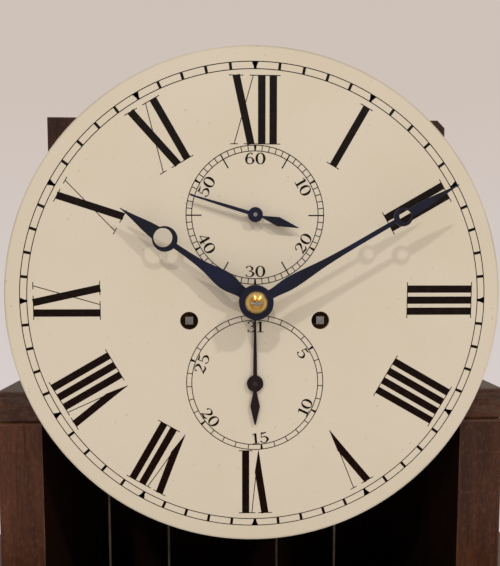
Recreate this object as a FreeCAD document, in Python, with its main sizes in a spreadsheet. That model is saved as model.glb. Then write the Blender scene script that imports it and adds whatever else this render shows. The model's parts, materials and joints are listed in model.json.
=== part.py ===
import FreeCAD, Part
import Sketcher
import math
import os

# Longcase clock with the hood lifted off.
# Millimetres, X to the right, Y to the back, Z up, standing on Z = 0.

SIZES = [
    ("base_step", 32.0, "trunk side out to the base side"),
    ("plinth_depth", 230.0, "front of the skirting to the back of the case"),
    ("plinth_height", 90.0, "height of the skirting"),
    ("skirting_thick", 14.0, "thickness of the skirting boards"),
    ("base_height", 470.0, "floor to the top of the base"),
    ("base_board", 18.0, "thickness of the base boards"),
    ("floor_level", 60.0, "underside of the base floor board"),
    ("waist_moulding_height", 45.0, "height of the moulding over the base"),
    ("trunk_width", 340.0, "outside width of the trunk"),
    ("trunk_front", 53.0, "trunk front ahead of the middle of the plinth"),
    ("frame_thick", 20.0, "thickness of the trunk front frame"),
    ("side_thick", 29.5, "thickness of the trunk sides"),
    ("throat_height", 60.0, "height of the moulding under the hood"),
    ("throat_out", 30.0, "overhang of the moulding under the hood"),
    ("throat_drop", 192.0, "dial centre down to the top of that moulding"),
    ("back_thick", 14.0, "thickness of the backboard"),
    ("ear_width", 364.0, "width of the backboard behind the hood"),
    ("back_rise", 156.0, "dial centre up to the top of the backboard"),
    ("ear_round", 7.0, "corner radius at the top of the backboard"),
    ("door_width", 230.0, "width of the door opening"),
    ("door_above", 50.0, "moulding over the base up to the door opening"),
    ("door_height", 775.0, "height of the door opening"),
    ("door_below", 53.0, "door opening up to the moulding under the hood"),
    ("door_lip", 9.0, "overlap of the door on its frame"),
    ("lip_thick", 8.0, "thickness of the door lip"),
    ("door_gap", 1.5, "gap round the door in its opening"),
    ("seat_width", 341.0, "length of the seatboard"),
    ("seat_thick", 21.0, "thickness of the seatboard"),
    ("seat_drop", 62.0, "dial centre down to the top of the seatboard"),
    ("seat_front", 30.0, "seatboard front ahead of the middle of the plinth"),
    ("seat_depth", 84.0, "front to back of the seatboard"),
    ("dial_diameter", 305.0, "diameter of the dial"),
    ("dial_thick", 2.0, "thickness of the dial sheet"),
    ("dial_front", 54.0, "dial face ahead of the middle of the plinth"),
    ("winding_hole", 5.6, "radius of the winding holes"),
    ("plate_width", 140.0, "width of the movement plates"),
    ("plate_rise", 96.0, "dial centre up to the top of the plates"),
    ("plate_thick", 3.0, "thickness of the movement plates"),
    ("plate_front", 24.0, "front plate face ahead of the middle of the plinth"),
    ("plate_gap", 62.0, "space between the plates"),
    ("pillar_radius", 4.0, "radius of the movement pillars"),
    ("pillar_side", 62.0, "upper pillars to either side of the centre"),
    ("low_pillar_side", 52.0, "lower pillars to either side of the centre"),
    ("barrel_side", 40.6, "winding arbors to either side of the centre"),
    ("barrel_drop", 12.5, "winding arbors below the centre"),
    ("line_turn_radius", 22.0, "radius of the line on the barrels and pulleys"),
    ("line_radius", 0.9, "radius of the gut line"),
    ("line_pitch", 2.3, "spacing of the turns on a barrel"),
    ("line_turns", 8.0, "turns of line left on a barrel"),
    ("seconds_rise", 52.0, "seconds arbor above the centre"),
    ("date_drop", 51.5, "date arbor below the centre"),
    ("escape_radius", 19.5, "radius of the escape wheel"),
    ("pallet_rise", 27.5, "pallet arbor above the escape wheel"),
    ("pendulum_length", 994.0, "suspension to the middle of the bob"),
    ("bob_radius", 52.0, "radius of the pendulum bob"),
    ("bob_half", 14.0, "half the thickness of the bob"),
    ("minute_length", 134.6, "minute hand, centre to tip"),
    ("hour_length", 96.6, "hour hand, centre to tip"),
    ("minute_angle", 59.75, "minute hand, degrees past twelve"),
    ("hour_angle", -55.3, "hour hand, degrees past twelve"),
    ("seconds_angle", 286.7, "seconds hand, degrees past sixty"),
    ("weight_radius", 31.0, "radius of a driving weight"),
    ("weight_height", 165.0, "height of a driving weight"),
    ("pulley_drop", 480.0, "dial centre down to the pulleys"),
    ("bell_radius", 52.0, "radius of the bell mouth"),
    ("run_fit", 0.05, "radial play of a running pivot"),
    ("part_gap", 0.3, "gap between pieces that move on each other"),
]

V = FreeCAD.Vector
doc = FreeCAD.newDocument("longcase_clock")
sheet = doc.addObject("Spreadsheet::Sheet", "sizes")
for row, (alias, number, note) in enumerate(SIZES, 1):
    sheet.set("A%d" % row, note)
    sheet.set("B%d" % row, str(number))
    sheet.setAlias("B%d" % row, alias)
doc.recompute()


class Size:
    """A length with its value and the sheet formula that gives it."""

    def __init__(self, value, formula):
        self.value = float(value)
        self.formula = formula

    def __float__(self):
        return self.value

    def join(self, other, sign, value):
        other_text = other.formula if isinstance(other, Size) else repr(float(other))
        return Size(value, "(%s %s %s)" % (self.formula, sign, other_text))

    def __add__(self, other):
        return self.join(other, "+", self.value + float(other))

    def __sub__(self, other):
        return self.join(other, "-", self.value - float(other))

    def __mul__(self, other):
        return self.join(other, "*", self.value * float(other))

    def __truediv__(self, other):
        return self.join(other, "/", self.value / float(other))

    def __neg__(self):
        return Size(-self.value, "(0 - %s)" % self.formula)


class Sheet:
    """Every cell of the sheet as a Size, by its alias."""


s = Sheet()
for alias, number, note in SIZES:
    setattr(s, alias, Size(sheet.get(alias), "sizes." + alias))


# Objects of the document

nodes = []


def bind(item, name, amount):
    """Tie a property to the sheet, or set it when the amount is a number."""
    if isinstance(amount, Size):
        item.setExpression(name, amount.formula)
    else:
        item.setExpression(name, repr(float(amount)))


def place(item, x, y, z):
    bind(item, "Placement.Base.x", x)
    bind(item, "Placement.Base.y", y)
    bind(item, "Placement.Base.z", z)


def node(item, label):
    """Make an object one of the nodes that are written out."""
    item.Label = label
    nodes.append(item)
    return item


def box(name, x, y, z, length, width, height):
    item = doc.addObject("Part::Box", name)
    bind(item, "Length", length)
    bind(item, "Width", width)
    bind(item, "Height", height)
    place(item, x, y, z)
    return item


def cylinder(name, x, y, z, radius, height, axis):
    """A cylinder from its base point along X, Y or Z."""
    item = doc.addObject("Part::Cylinder", name)
    turn = {"X": (V(0, 1, 0), 90), "Y": (V(1, 0, 0), -90), "Z": (V(0, 0, 1), 0)}[axis]
    item.Placement = FreeCAD.Placement(V(0, 0, 0), FreeCAD.Rotation(*turn))
    bind(item, "Radius", radius)
    bind(item, "Height", height)
    place(item, x, y, z)
    return item


def cut(name, base, tools):
    item = doc.addObject("Part::Cut", name)
    item.Base = base
    item.Tool = tools[0] if len(tools) == 1 else fuse(name + "_tools", tools)
    return item


def fuse(name, items):
    item = doc.addObject("Part::MultiFuse", name)
    item.Shapes = items
    item.Refine = True
    return item


def group(name, items):
    item = doc.addObject("Part::Compound", name)
    item.Links = items
    return item


def feature(name, shape):
    item = doc.addObject("Part::Feature", name)
    item.Shape = shape
    return item


def sketch_on(body, name, role):
    sketch = body.newObject("Sketcher::SketchObject", name)
    plane = [part for part in body.Origin.OriginFeatures if part.Role == role][0]
    sketch.AttachmentSupport = [(plane, "")]
    sketch.MapMode = "FlatFace"
    return sketch


def hold(sketch, kind, index, point, amount):
    """A distance from the sketch origin to a point, tied to the sheet."""
    key = sketch.addConstraint(Sketcher.Constraint(kind, -1, 1, index, point, float(amount)))
    bind(sketch, "Constraints[%d]" % key, amount)


def draw_polygon(sketch, corners):
    first = sketch.GeometryCount
    count = len(corners)
    for index in range(count):
        here = corners[index]
        then = corners[(index + 1) % count]
        start = V(float(here[0]), float(here[1]), 0)
        end = V(float(then[0]), float(then[1]), 0)
        sketch.addGeometry(Part.LineSegment(start, end), False)
    for index in range(count):
        follow = first + (index + 1) % count
        sketch.addConstraint(Sketcher.Constraint("Coincident", first + index, 2, follow, 1))
    for index, corner in enumerate(corners):
        hold(sketch, "DistanceX", first + index, 1, corner[0])
        hold(sketch, "DistanceY", first + index, 1, corner[1])


def draw_circle(sketch, x, y, radius):
    middle = V(float(x), float(y), 0)
    index = sketch.addGeometry(Part.Circle(middle, V(0, 0, 1), float(radius)), False)
    key = sketch.addConstraint(Sketcher.Constraint("Radius", index, float(radius)))
    bind(sketch, "Constraints[%d]" % key, radius)
    hold(sketch, "DistanceX", index, 3, x)
    hold(sketch, "DistanceY", index, 3, y)


def sheet_body(label, role, outline, holes, thick, base):
    """A flat piece: an outline padded to its thickness, then its holes pocketed."""
    body = doc.addObject("PartDesign::Body", label)
    sketch = sketch_on(body, label + "_outline", role)
    if isinstance(outline, list):
        draw_polygon(sketch, outline)
    else:
        draw_circle(sketch, 0.0, 0.0, outline)
    pad = body.newObject("PartDesign::Pad", label + "_pad")
    pad.Profile = sketch
    bind(pad, "Length", thick)
    if holes:
        doc.recompute()
        marks = sketch_on(body, label + "_holes", role)
        for x, y, radius in holes:
            draw_circle(marks, x, y, radius)
        pocket = body.newObject("PartDesign::Pocket", label + "_pocket")
        pocket.Profile = marks
        pocket.Type = 1
        pocket.Midplane = True
    place(body, base[0], base[1], base[2])
    return node(body, label)


def rectangle(x0, x1, y0, y1):
    return [(x0, y0), (x1, y0), (x1, y1), (x0, y1)]


# Shapes made with Part's own functions

def ring_face(points):
    """A face in the XZ plane from (x, z) points."""
    wire = Part.makePolygon([V(x, 0, z) for x, z in points] + [V(points[0][0], 0, points[0][1])])
    return Part.Face(wire)


def slab(points, y0, y1):
    shape = ring_face(points).extrude(V(0, y1 - y0, 0))
    shape.translate(V(0, y0, 0))
    return shape


def disc(x, z, y0, y1, radius):
    return Part.makeCylinder(radius, y1 - y0, V(x, y0, z), V(0, 1, 0))


def stack(x, z, steps):
    """A turned arbor from (start, end, radius) steps along Y."""
    shape = disc(x, z, *steps[0])
    for step in steps[1:]:
        shape = shape.fuse(disc(x, z, *step))
    return shape.removeSplitter()


def block(x0, x1, y0, y1, z0, z1):
    return Part.makeBox(x1 - x0, y1 - y0, z1 - z0, V(x0, y0, z0))


def polar(radius, angle):
    return (radius * math.cos(angle), radius * math.sin(angle))


def tooth_points(x, z, teeth, phase, corners):
    """A toothed outline; corners are (radius, share of half a pitch)."""
    points = []
    for index in range(teeth):
        middle = phase + 2 * math.pi * index / teeth
        for radius, share in corners:
            across, up = polar(radius, middle + share * math.pi / teeth)
            points.append((x + across, z + up))
    return points


def wheel(at, y0, y1, teeth, module, phase, bore, hub):
    """A brass wheel: pointed teeth, a rim, four arms and a bored hub."""
    x, z = at
    pitch = teeth * module / 2
    root = pitch - 1.3 * module
    tip = pitch + 1.1 * module
    corners = [(root, -0.52), (tip, -0.14), (tip, 0.14), (root, 0.52)]
    shape = slab(tooth_points(x, z, teeth, phase, corners), y0, y1)
    rim = root - 2.6
    if rim > hub + 4:
        window = disc(x, z, y0 - 1, y1 + 1, rim).cut(disc(x, z, y0 - 1, y1 + 1, hub))
        arm = 1.7 + 0.02 * pitch
        window = window.cut(block(x - rim - 1, x + rim + 1, y0 - 2, y1 + 2, z - arm, z + arm))
        window = window.cut(block(x - arm, x + arm, y0 - 2, y1 + 2, z - rim - 1, z + rim + 1))
        shape = shape.cut(window)
    if bore:
        shape = shape.cut(disc(x, z, y0 - 1, y1 + 1, bore))
    return shape


def pinion(at, y0, y1, leaves, module, phase):
    """A steel pinion with thin rounded leaves."""
    x, z = at
    pitch = leaves * module / 2
    root = pitch - 1.5 * module
    tip = pitch + 0.6 * module
    corners = [(root, -0.38), (pitch, -0.35), (tip, -0.1), (tip, 0.1), (pitch, 0.35), (root, 0.38)]
    return slab(tooth_points(x, z, leaves, phase, corners), y0, y1)


def direction(start, end):
    return math.atan2(end[1] - start[1], end[0] - start[0])


def mesh_phase(phase, teeth, other, angle):
    """Turn of the other gear that puts its gap on this gear's tooth."""
    share = (angle - phase) / (2 * math.pi / teeth)
    return angle + math.pi - (0.5 - share) * 2 * math.pi / other


def arc_between(start, end, corner):
    """The arc from start to end that leaves start and reaches end towards a corner."""
    middle = (start + end) * 0.5
    half = (end - start).Length / 2
    reach = (corner - start).Length
    sag = half * math.tan(math.acos(min(1.0, half / reach)) / 2)
    top = middle + (corner - middle).normalize() * sag
    return Part.Arc(start, top, end).toShape()


def biarc(start, leave, end, arrive):
    """Two tangent arcs from start, along leave, to end, along arrive."""
    span = end - start
    both = leave + arrive
    square = 2 * (1 - leave.dot(arrive))
    product = span.dot(both)
    reach = (math.sqrt(product ** 2 + square * span.dot(span)) - product) / square
    joint = (start + end + (leave - arrive) * reach) * 0.5
    return [arc_between(start, joint, start + leave * reach), arc_between(joint, end, end - arrive * reach)]


def pipe(edges, radius):
    """A round section carried along a tangent run of edges."""
    spine = Part.Wire(edges)
    first = spine.OrderedEdges[0]
    start = first.valueAt(first.FirstParameter)
    along = first.tangentAt(first.FirstParameter)
    section = Part.Wire([Part.makeCircle(radius, start, along)])
    return spine.makePipeShell([section], True, False)


def flat_run(first, last):
    """A solid between two like outlines, with a flat face on each of its sides."""
    count = len(first)
    faces = [Part.Face(Part.makePolygon(outline + [outline[0]])) for outline in (first, last)]
    for k in range(count):
        then = (k + 1) % count
        faces.append(Part.Face(Part.makePolygon([first[k], first[then], last[then], last[k], first[k]])))
    solid = Part.Solid(Part.Shell(faces))
    if solid.Volume < 0:
        solid.reverse()
    return solid


def swept_moulding(points, half_width, front, back):
    """A moulding on the front and both sides, mitred at its corners."""
    strips = []
    for corners in ((-1, 1), (-1, -1), (1, 1)):
        rings = []
        for place_index in (0, 1):
            ring = []
            for out, z in points:
                if corners == (-1, 1):
                    side = -1 if place_index == 0 else 1
                    ring.append(V(side * (half_width + out), front - out, z))
                else:
                    y = front - out if place_index == 0 else back
                    ring.append(V(corners[0] * (half_width + out), y, z))
            rings.append(ring)
        strips.append(flat_run(*rings))
    whole = strips[0].fuse(strips[1:])
    return whole.removeSplitter()


# Places shared by many pieces

back_plane = s.plinth_depth / 2
board_front = back_plane - s.back_thick
half_trunk = s.trunk_width / 2
inner_half = half_trunk - s.side_thick
trunk_face = -s.trunk_front
frame_back = trunk_face + s.frame_thick
waist_top = s.base_height + s.waist_moulding_height
door_bottom = waist_top + s.door_above
throat_top = door_bottom + s.door_height + s.door_below + s.throat_height
dial_up = throat_top + s.throat_drop
seat_top = dial_up - s.seat_drop
seat_under = seat_top - s.seat_thick
dial_face = -s.dial_front
dial_back = dial_face + s.dial_thick
front_face = -s.plate_front
front_inner = front_face + s.plate_thick
back_inner = front_inner + s.plate_gap
back_outer = back_inner + s.plate_thick
half_base = half_trunk + s.base_step
base_face = -back_plane + s.skirting_thick

mid = float(dial_up)
yf = float(front_face)
yi = float(front_inner)
yb = float(back_inner)
yo = float(back_outer)
fit = float(s.run_fit)
gap = float(s.part_gap)
turn_radius = float(s.line_turn_radius)
line_radius = float(s.line_radius)

# Case

cheek_height = seat_under - (s.base_height - 50.0)
side_depth = board_front - frame_back
node(box("left_side", -half_trunk, frame_back, s.base_height - 50.0,
         s.side_thick, side_depth, cheek_height), "left_side")
node(box("right_side", inner_half, frame_back, s.base_height - 50.0,
         s.side_thick, side_depth, cheek_height), "right_side")

half_ear = s.ear_width / 2
back_top = dial_up + s.back_rise
inner_base = half_base - s.base_board
back_outline = [
    (-inner_base, 20.0), (inner_base, 20.0), (inner_base, s.base_height), (half_trunk, s.base_height),
    (half_trunk, throat_top), (half_ear, throat_top),
    (half_ear, back_top - s.ear_round), (half_ear - s.ear_round, back_top), (-half_ear, back_top),
    (-half_ear, throat_top), (-half_trunk, throat_top), (-half_trunk, s.base_height),
    (-inner_base, s.base_height)]
sheet_body("backboard", "XZ_Plane", back_outline, [], s.back_thick, (0.0, back_plane, 0.0))

frame_whole = box("frame_whole", -half_trunk, trunk_face, waist_top,
                  s.trunk_width, s.frame_thick, throat_top - waist_top)
frame_opening = box("frame_opening", -s.door_width / 2, trunk_face - 1.0, door_bottom,
                    s.door_width, s.frame_thick + 2.0, s.door_height)
frame_foot = box("frame_foot", -half_trunk, trunk_face, s.base_height - 50.0,
                 s.trunk_width, s.frame_thick, s.waist_moulding_height + 50.0)
trunk_board = fuse("trunk_board", [frame_whole, frame_foot])
lock_up = door_bottom + s.door_height * 0.55
bolt_mortise = box("bolt_mortise", -s.door_width / 2 - 9.0, frame_back - 8.5 - s.part_gap,
                   lock_up - 6.0 - s.part_gap, 10.0, s.part_gap * 2 + 5.0, s.part_gap * 2 + 12.0)
node(cut("trunk_frame", trunk_board, [frame_opening, bolt_mortise]), "trunk_frame")

throat_low = float(throat_top) - float(s.throat_height)
out = float(s.throat_out)
throat_points = [(0, throat_low), (5, throat_low), (5, throat_low + 7)]
cove = out - 8
for step in range(1, 7):
    angle = math.radians(15 * step)
    throat_points.append((5 + cove * (1 - math.cos(angle)), throat_low + 7 + 36 * math.sin(angle)))
throat_points.append((out, throat_low + 45))
throat_points.append((out, float(throat_top)))
throat_points.append((0, float(throat_top)))
node(feature("throat_moulding", swept_moulding(
    throat_points, float(half_trunk), float(trunk_face), float(board_front))), "throat_moulding")

waist_low = float(s.base_height)
ledge = float(half_base) - float(half_trunk)
waist_points = [(0, waist_low), (ledge + 6, waist_low), (ledge + 6, waist_low + 8), (ledge, waist_low + 11)]
rise = float(s.waist_moulding_height) - 16
for step in range(1, 7):
    angle = math.radians(15 * step)
    waist_points.append((ledge - (ledge - 5) * math.sin(angle), waist_low + 11 + rise * (1 - math.cos(angle))))
waist_points.append((5, float(waist_top)))
waist_points.append((0, float(waist_top)))
node(feature("waist_moulding", swept_moulding(
    waist_points, float(half_trunk), float(trunk_face), float(board_front))), "waist_moulding")

panel_height = s.base_height - 10.0
base_front = box("base_front", -half_base, base_face, 10.0, half_base * 2, s.base_board, panel_height)
side_run = back_plane - base_face - s.base_board
base_left = box("base_left", -half_base, base_face + s.base_board, 10.0, s.base_board, side_run, panel_height)
base_right = box("base_right", half_base - s.base_board, base_face + s.base_board, 10.0,
                 s.base_board, side_run, panel_height)
node(group("base_panels", [base_front, base_left, base_right]), "base_panels")

bevel = float(s.skirting_thick)
tall = float(s.plinth_height)
skirting_points = [(0, 0), (bevel, 0), (bevel, tall - 12), (bevel - 4, tall - 8), (bevel - 8, tall), (0, tall)]
node(feature("plinth_skirting", swept_moulding(
    skirting_points, float(half_base), float(base_face), float(back_plane))), "plinth_skirting")

node(box("base_floor", -inner_base, base_face + s.base_board, s.floor_level,
         inner_base * 2, board_front - base_face - s.base_board, 16.0), "base_floor")

# Places of the arbors, across and up from the dial centre

centre_at = (0.0, 0.0)
going_at = (float(s.barrel_side), -float(s.barrel_drop))
strike_at = (-float(s.barrel_side), -float(s.barrel_drop))
escape_at = (0.0, float(s.seconds_rise))
pallet_at = (0.0, float(s.seconds_rise) + float(s.pallet_rise))
date_at = (0.0, -float(s.date_drop))

great_module = math.hypot(*going_at) / 52
centre_module = 0.9
third_module = 0.8
reach_one = 34 * centre_module
reach_two = 31.5 * third_module
third_up = (escape_at[1] ** 2 + reach_one ** 2 - reach_two ** 2) / (2 * escape_at[1])
third_at = (math.sqrt(reach_one ** 2 - third_up ** 2), third_up)

strike_module = 0.815
pin_module = 0.8
gather_module = 0.65
warn_module = 0.6


def along(start, distance, degrees):
    across, up = polar(distance, math.radians(degrees))
    return (start[0] + across, start[1] + up)


pin_at = along(strike_at, 46 * strike_module, 76.7)
gather_at = along(pin_at, 36 * pin_module, 78.0)
warn_at = along(gather_at, 31.5 * gather_module, 157.7)
fly_at = along(warn_at, 27.5 * warn_module, 65.0)
hammer_at = (-62.0, 20.0)
minute_at = (15.0, -20.0)
motion_reach = math.hypot(*minute_at)

great_phase = 0.0
centre_pinion_phase = mesh_phase(great_phase, 96, 8, direction(going_at, centre_at))
centre_phase = 0.0
third_pinion_phase = mesh_phase(centre_phase, 60, 8, direction(centre_at, third_at))
third_phase = 0.0
escape_pinion_phase = mesh_phase(third_phase, 56, 7, direction(third_at, escape_at))
strike_phase = 0.0
pin_pinion_phase = mesh_phase(strike_phase, 84, 8, direction(strike_at, pin_at))
pin_phase = 0.0
gather_pinion_phase = mesh_phase(pin_phase, 64, 8, direction(pin_at, gather_at))
warn_pinion_phase = mesh_phase(0.0, 56, 7, direction(gather_at, warn_at))
fly_pinion_phase = mesh_phase(0.0, 48, 7, direction(warn_at, fly_at))
minute_phase = mesh_phase(0.0, 36, 36, direction(centre_at, minute_at))
hour_phase = mesh_phase(0.0, 6, 72, direction(minute_at, centre_at))


def lifted(shape):
    """A shape drawn about the dial centre, raised to its height."""
    shape.translate(V(0, 0, mid))
    return shape


def piece(label, shapes):
    """A node of one or more solids drawn about the dial centre."""
    shapes = [lifted(shape) for shape in shapes]
    return node(feature(label, shapes[0] if len(shapes) == 1 else Part.makeCompound(shapes)), label)


# Movement frame

pillar_places = []
for side in (-1, 1):
    pillar_places.append((s.low_pillar_side * side, -s.seat_drop + 5.0))
    pillar_places.append((s.pillar_side * side, s.plate_rise - 12.0))
foot_places = [(-62.0, 60.0), (62.0, 60.0), (-62.0, -34.0), (62.0, -34.0)]
half_plate = s.plate_width / 2
plate_outline = rectangle(-half_plate, half_plate, -s.seat_drop, s.plate_rise)
spigot = 3.0
foot_spigot = 2.0

front_holes = [(x, z, spigot) for x, z in pillar_places]
front_holes += [(x, z, foot_spigot) for x, z in foot_places]
front_holes += [(at[0], at[1], 2.5 + fit) for at in (going_at, strike_at, centre_at)]
front_holes += [(at[0], at[1], 1.2 + fit) for at in (third_at, escape_at, pallet_at, pin_at, gather_at)]
front_holes += [(at[0], at[1], 0.9 + fit) for at in (warn_at, fly_at)]
front_holes += [(hammer_at[0], hammer_at[1], 1.2 + fit), (minute_at[0], minute_at[1], 0.9 + fit)]
sheet_body("front_plate", "XZ_Plane", plate_outline, front_holes, s.plate_thick,
           (0.0, front_inner, dial_up))
back_holes = [(x, z, spigot) for x, z in pillar_places]
back_holes += [(at[0], at[1], 2.0 + fit) for at in (going_at, strike_at)]
back_holes += [(centre_at[0], centre_at[1], 1.5 + fit), (pallet_at[0], pallet_at[1], 4.0)]
back_holes += [(at[0], at[1], 1.2 + fit) for at in (third_at, escape_at, pin_at, gather_at)]
back_holes += [(at[0], at[1], 0.9 + fit) for at in (warn_at, fly_at)]
back_holes += [(hammer_at[0], hammer_at[1], 1.2 + fit)]
sheet_body("back_plate", "XZ_Plane", plate_outline, back_holes, s.plate_thick,
           (0.0, back_outer, dial_up))

pillar_shapes = []
pillar_width = float(s.pillar_radius)
for x, z in pillar_places:
    x, z = float(x), float(z)
    body_steps = [(yf - 5, yi, spigot), (yi, yb, pillar_width), (yb, yo + 1, spigot)]
    pin = Part.makeCylinder(0.8, 12, V(x - 6, yf - 0.8, z), V(1, 0, 0))
    pillar_shapes.append(stack(x, z, body_steps).cut(pin))
    pillar_shapes.append(pin)
piece("pillars", pillar_shapes)

hook_radius = 2.0
hook_shapes = []
hook_y = 10.0
for x, z in pillar_places[0::2]:
    x, z = float(x), float(z)
    side = 1 if x < 0 else -1
    bend = pillar_width + hook_radius
    low = -float(s.seat_drop) - float(s.seat_thick) - 11
    shank = x + side * bend
    run = Part.makeLine(V(shank, hook_y, low), V(shank, hook_y, z))
    arc = Part.Arc(V(shank, hook_y, z), V(x, hook_y, z + bend), V(x - side * bend, hook_y, z)).toShape()
    hook_shapes.append(pipe([run, arc], hook_radius))
    nut_top = low + 11
    points = [polar(5.5, math.radians(60 * k)) for k in range(6)]
    outline = [V(shank + a, hook_y + b, nut_top - 5) for a, b in points]
    nut = Part.Face(Part.makePolygon(outline + [outline[0]])).extrude(V(0, 0, 5))
    hook_shapes.append(nut.cut(Part.makeCylinder(hook_radius, 20, V(shank, hook_y, nut_top - 12))))
piece("seatboard_hooks", hook_shapes)

strike_fixed = strike_at[0] - 3 * turn_radius
strike_free = strike_at[0] - turn_radius
going_free = going_at[0] - turn_radius
going_fixed = going_at[0] + turn_radius
line_y = 3.0
hook_shank = float(s.low_pillar_side) - pillar_width - hook_radius
seat_holes = []
for x in (strike_free, going_free):
    seat_holes.append((x, line_y, 4.0))
for x in (strike_fixed, going_fixed):
    seat_holes.append((x, line_y, 1.5))
for side in (-1, 1):
    seat_holes.append((side * hook_shank, hook_y, hook_radius))
half_seat = s.seat_width / 2
seat_outline = rectangle(-half_seat, half_seat, -s.seat_front, s.seat_depth - s.seat_front)
sheet_body("seatboard", "XY_Plane", seat_outline, seat_holes, s.seat_thick, (0.0, 0.0, seat_under))

# Dial and its fixings

dial_holes = [(going_at[0], going_at[1], s.winding_hole), (strike_at[0], strike_at[1], s.winding_hole)]
dial_holes += [(0.0, 0.0, 8.5), (0.0, s.seconds_rise, 3.0), (0.0, -s.date_drop, 1.5 + fit)]
sheet_body("dial", "XZ_Plane", s.dial_diameter / 2, dial_holes, s.dial_thick,
           (0.0, dial_back, dial_up))
feet = []
yd = float(dial_back)
for x, z in foot_places:
    pin = Part.makeCylinder(0.7, 9, V(x - 4.5, yi + 0.7, z), V(1, 0, 0))
    feet.append(stack(x, z, [(yd, yf, 3.5), (yf, yi + 3, foot_spigot)]).cut(pin))
    feet.append(pin)
piece("dial_feet", feet)

# Back cock, bell and stand

axis_up = pallet_at[1]
spring_y = yo + 24
cock = block(-14, 14, yo, spring_y + 7, axis_up + 4.5, axis_up + 10.5)
cock = cock.fuse(block(-14, 14, spring_y - 6, spring_y + 7, axis_up - 3.5, axis_up + 4.5))
cock = cock.fuse(block(-14, 14, yo + 6, yo + 10, axis_up - 6.5, axis_up + 4.5))
for side in (-1, 1):
    cock = cock.fuse(block(side * 11.5 - 2.5, side * 11.5 + 2.5, yo, yo + 6, axis_up - 6.5, axis_up + 4.5))
cock = cock.cut(block(-0.5, 0.5, spring_y - 4.5, spring_y + 4.5, axis_up - 10, axis_up + 5))
cock = cock.cut(block(-5, 5, spring_y - 5, spring_y + 5, axis_up + 3.5, axis_up + 20))
cock = cock.cut(disc(0, axis_up, yo + 5, yo + 11, 1.2 + fit)).removeSplitter()
piece("back_cock", [cock])

stand_y = 10.0
stand_up = float(s.plate_rise) + 4.5
stand_post = yo + 3
bend = 8.0
half_turn = bend * (1 - math.sqrt(0.5))
bell_low = stand_up + 6.5
bell_top = bell_low + 36
lower = Part.makeLine(V(-30, stand_post, 64), V(-30, stand_post, stand_up - bend))
first_bend = Part.Arc(V(-30, stand_post, stand_up - bend), V(-30, stand_post - half_turn, stand_up - half_turn),
                      V(-30, stand_post - bend, stand_up)).toShape()
stand = pipe([lower, first_bend], 3)
reach = math.hypot(30, stand_post - bend - stand_y)
bar = Part.makeCylinder(3, reach, V(-30, stand_post - bend, stand_up), V(30, stand_y - stand_post + bend, 0))
stand = stand.fuse(bar).fuse(Part.makeSphere(3, V(-30, stand_post - bend, stand_up)))
stand = stand.fuse(Part.makeCylinder(3, bell_top - 4 - stand_up, V(0, stand_y, stand_up)))
stand = stand.fuse(Part.makeSphere(3, V(0, stand_y, stand_up)))
stand = stand.fuse(Part.makeCylinder(5, 4, V(0, stand_y, bell_top - 8)))
stand = stand.fuse(Part.makeCylinder(2, 12, V(0, stand_y, bell_top - 5)))
stand = stand.fuse(block(-36, -24, yo, yo + 3, 60, 84))
nut = Part.makeCylinder(5, 4, V(0, stand_y, bell_top)).cut(Part.makeCylinder(2, 8, V(0, stand_y, bell_top - 2)))
piece("bell_stand", [stand.removeSplitter(), nut])

mouth = float(s.bell_radius)
wall = 2.5
dome = 36.0


def bell_line(width, height):
    """Half of the bell's outline, from the mouth to the crown."""
    points = []
    for step in range(9):
        angle = math.radians(90 * step / 8)
        points.append(V(width * math.cos(angle) ** 0.8, 0, height * math.sin(angle) ** 0.9))
    return points


outer_points = bell_line(mouth, dome)
inner_points = bell_line(mouth - wall, dome - 4)
outer_points[-1] = V(0, 0, dome)
inner_points[-1] = V(0, 0, dome - 4)
outer = Part.BSplineCurve()
outer.interpolate(outer_points)
inner = Part.BSplineCurve()
inner.interpolate(inner_points)
edges = [outer.toShape(), Part.makeLine(V(0, 0, dome), V(0, 0, dome - 4)), inner.toShape(),
         Part.makeLine(V(mouth - wall, 0, 0), V(mouth, 0, 0))]
bell = Part.Face(Part.Wire(Part.__sortEdges__(edges))).revolve(V(0, 0, 0), V(0, 0, 1), 360)
bell.translate(V(0, stand_y, bell_low))
bell = bell.cut(Part.makeCylinder(2, 20, V(0, stand_y, bell_top - 10)))
piece("bell", [bell])

# Hour bridge and the minute stud on the front plate

bridge_y = yf - 12.5
pipe_end = yf - 22.0
bridge = block(-28, 28, bridge_y, bridge_y + 2, -7, 7)
for side in (-1, 1):
    bridge = bridge.fuse(block(side * 26 - 2, side * 26 + 2, bridge_y, yf, -7, 7))
bridge = bridge.fuse(disc(0, 0, pipe_end, bridge_y + 2, 5.4)).cut(disc(0, 0, pipe_end - 1, yf, 4.0 + fit))
bush = disc(minute_at[0], minute_at[1], yf - 5, yf, 2.6).cut(
    disc(minute_at[0], minute_at[1], yf - 6, yf + 1, 0.9 + fit))
piece("hour_bridge", [bridge.removeSplitter(), bush])

# Going train

barrel_front = yi + 12
barrel_back = barrel_front + 34
great_front = barrel_back + 1
great_back = great_front + 3


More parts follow.
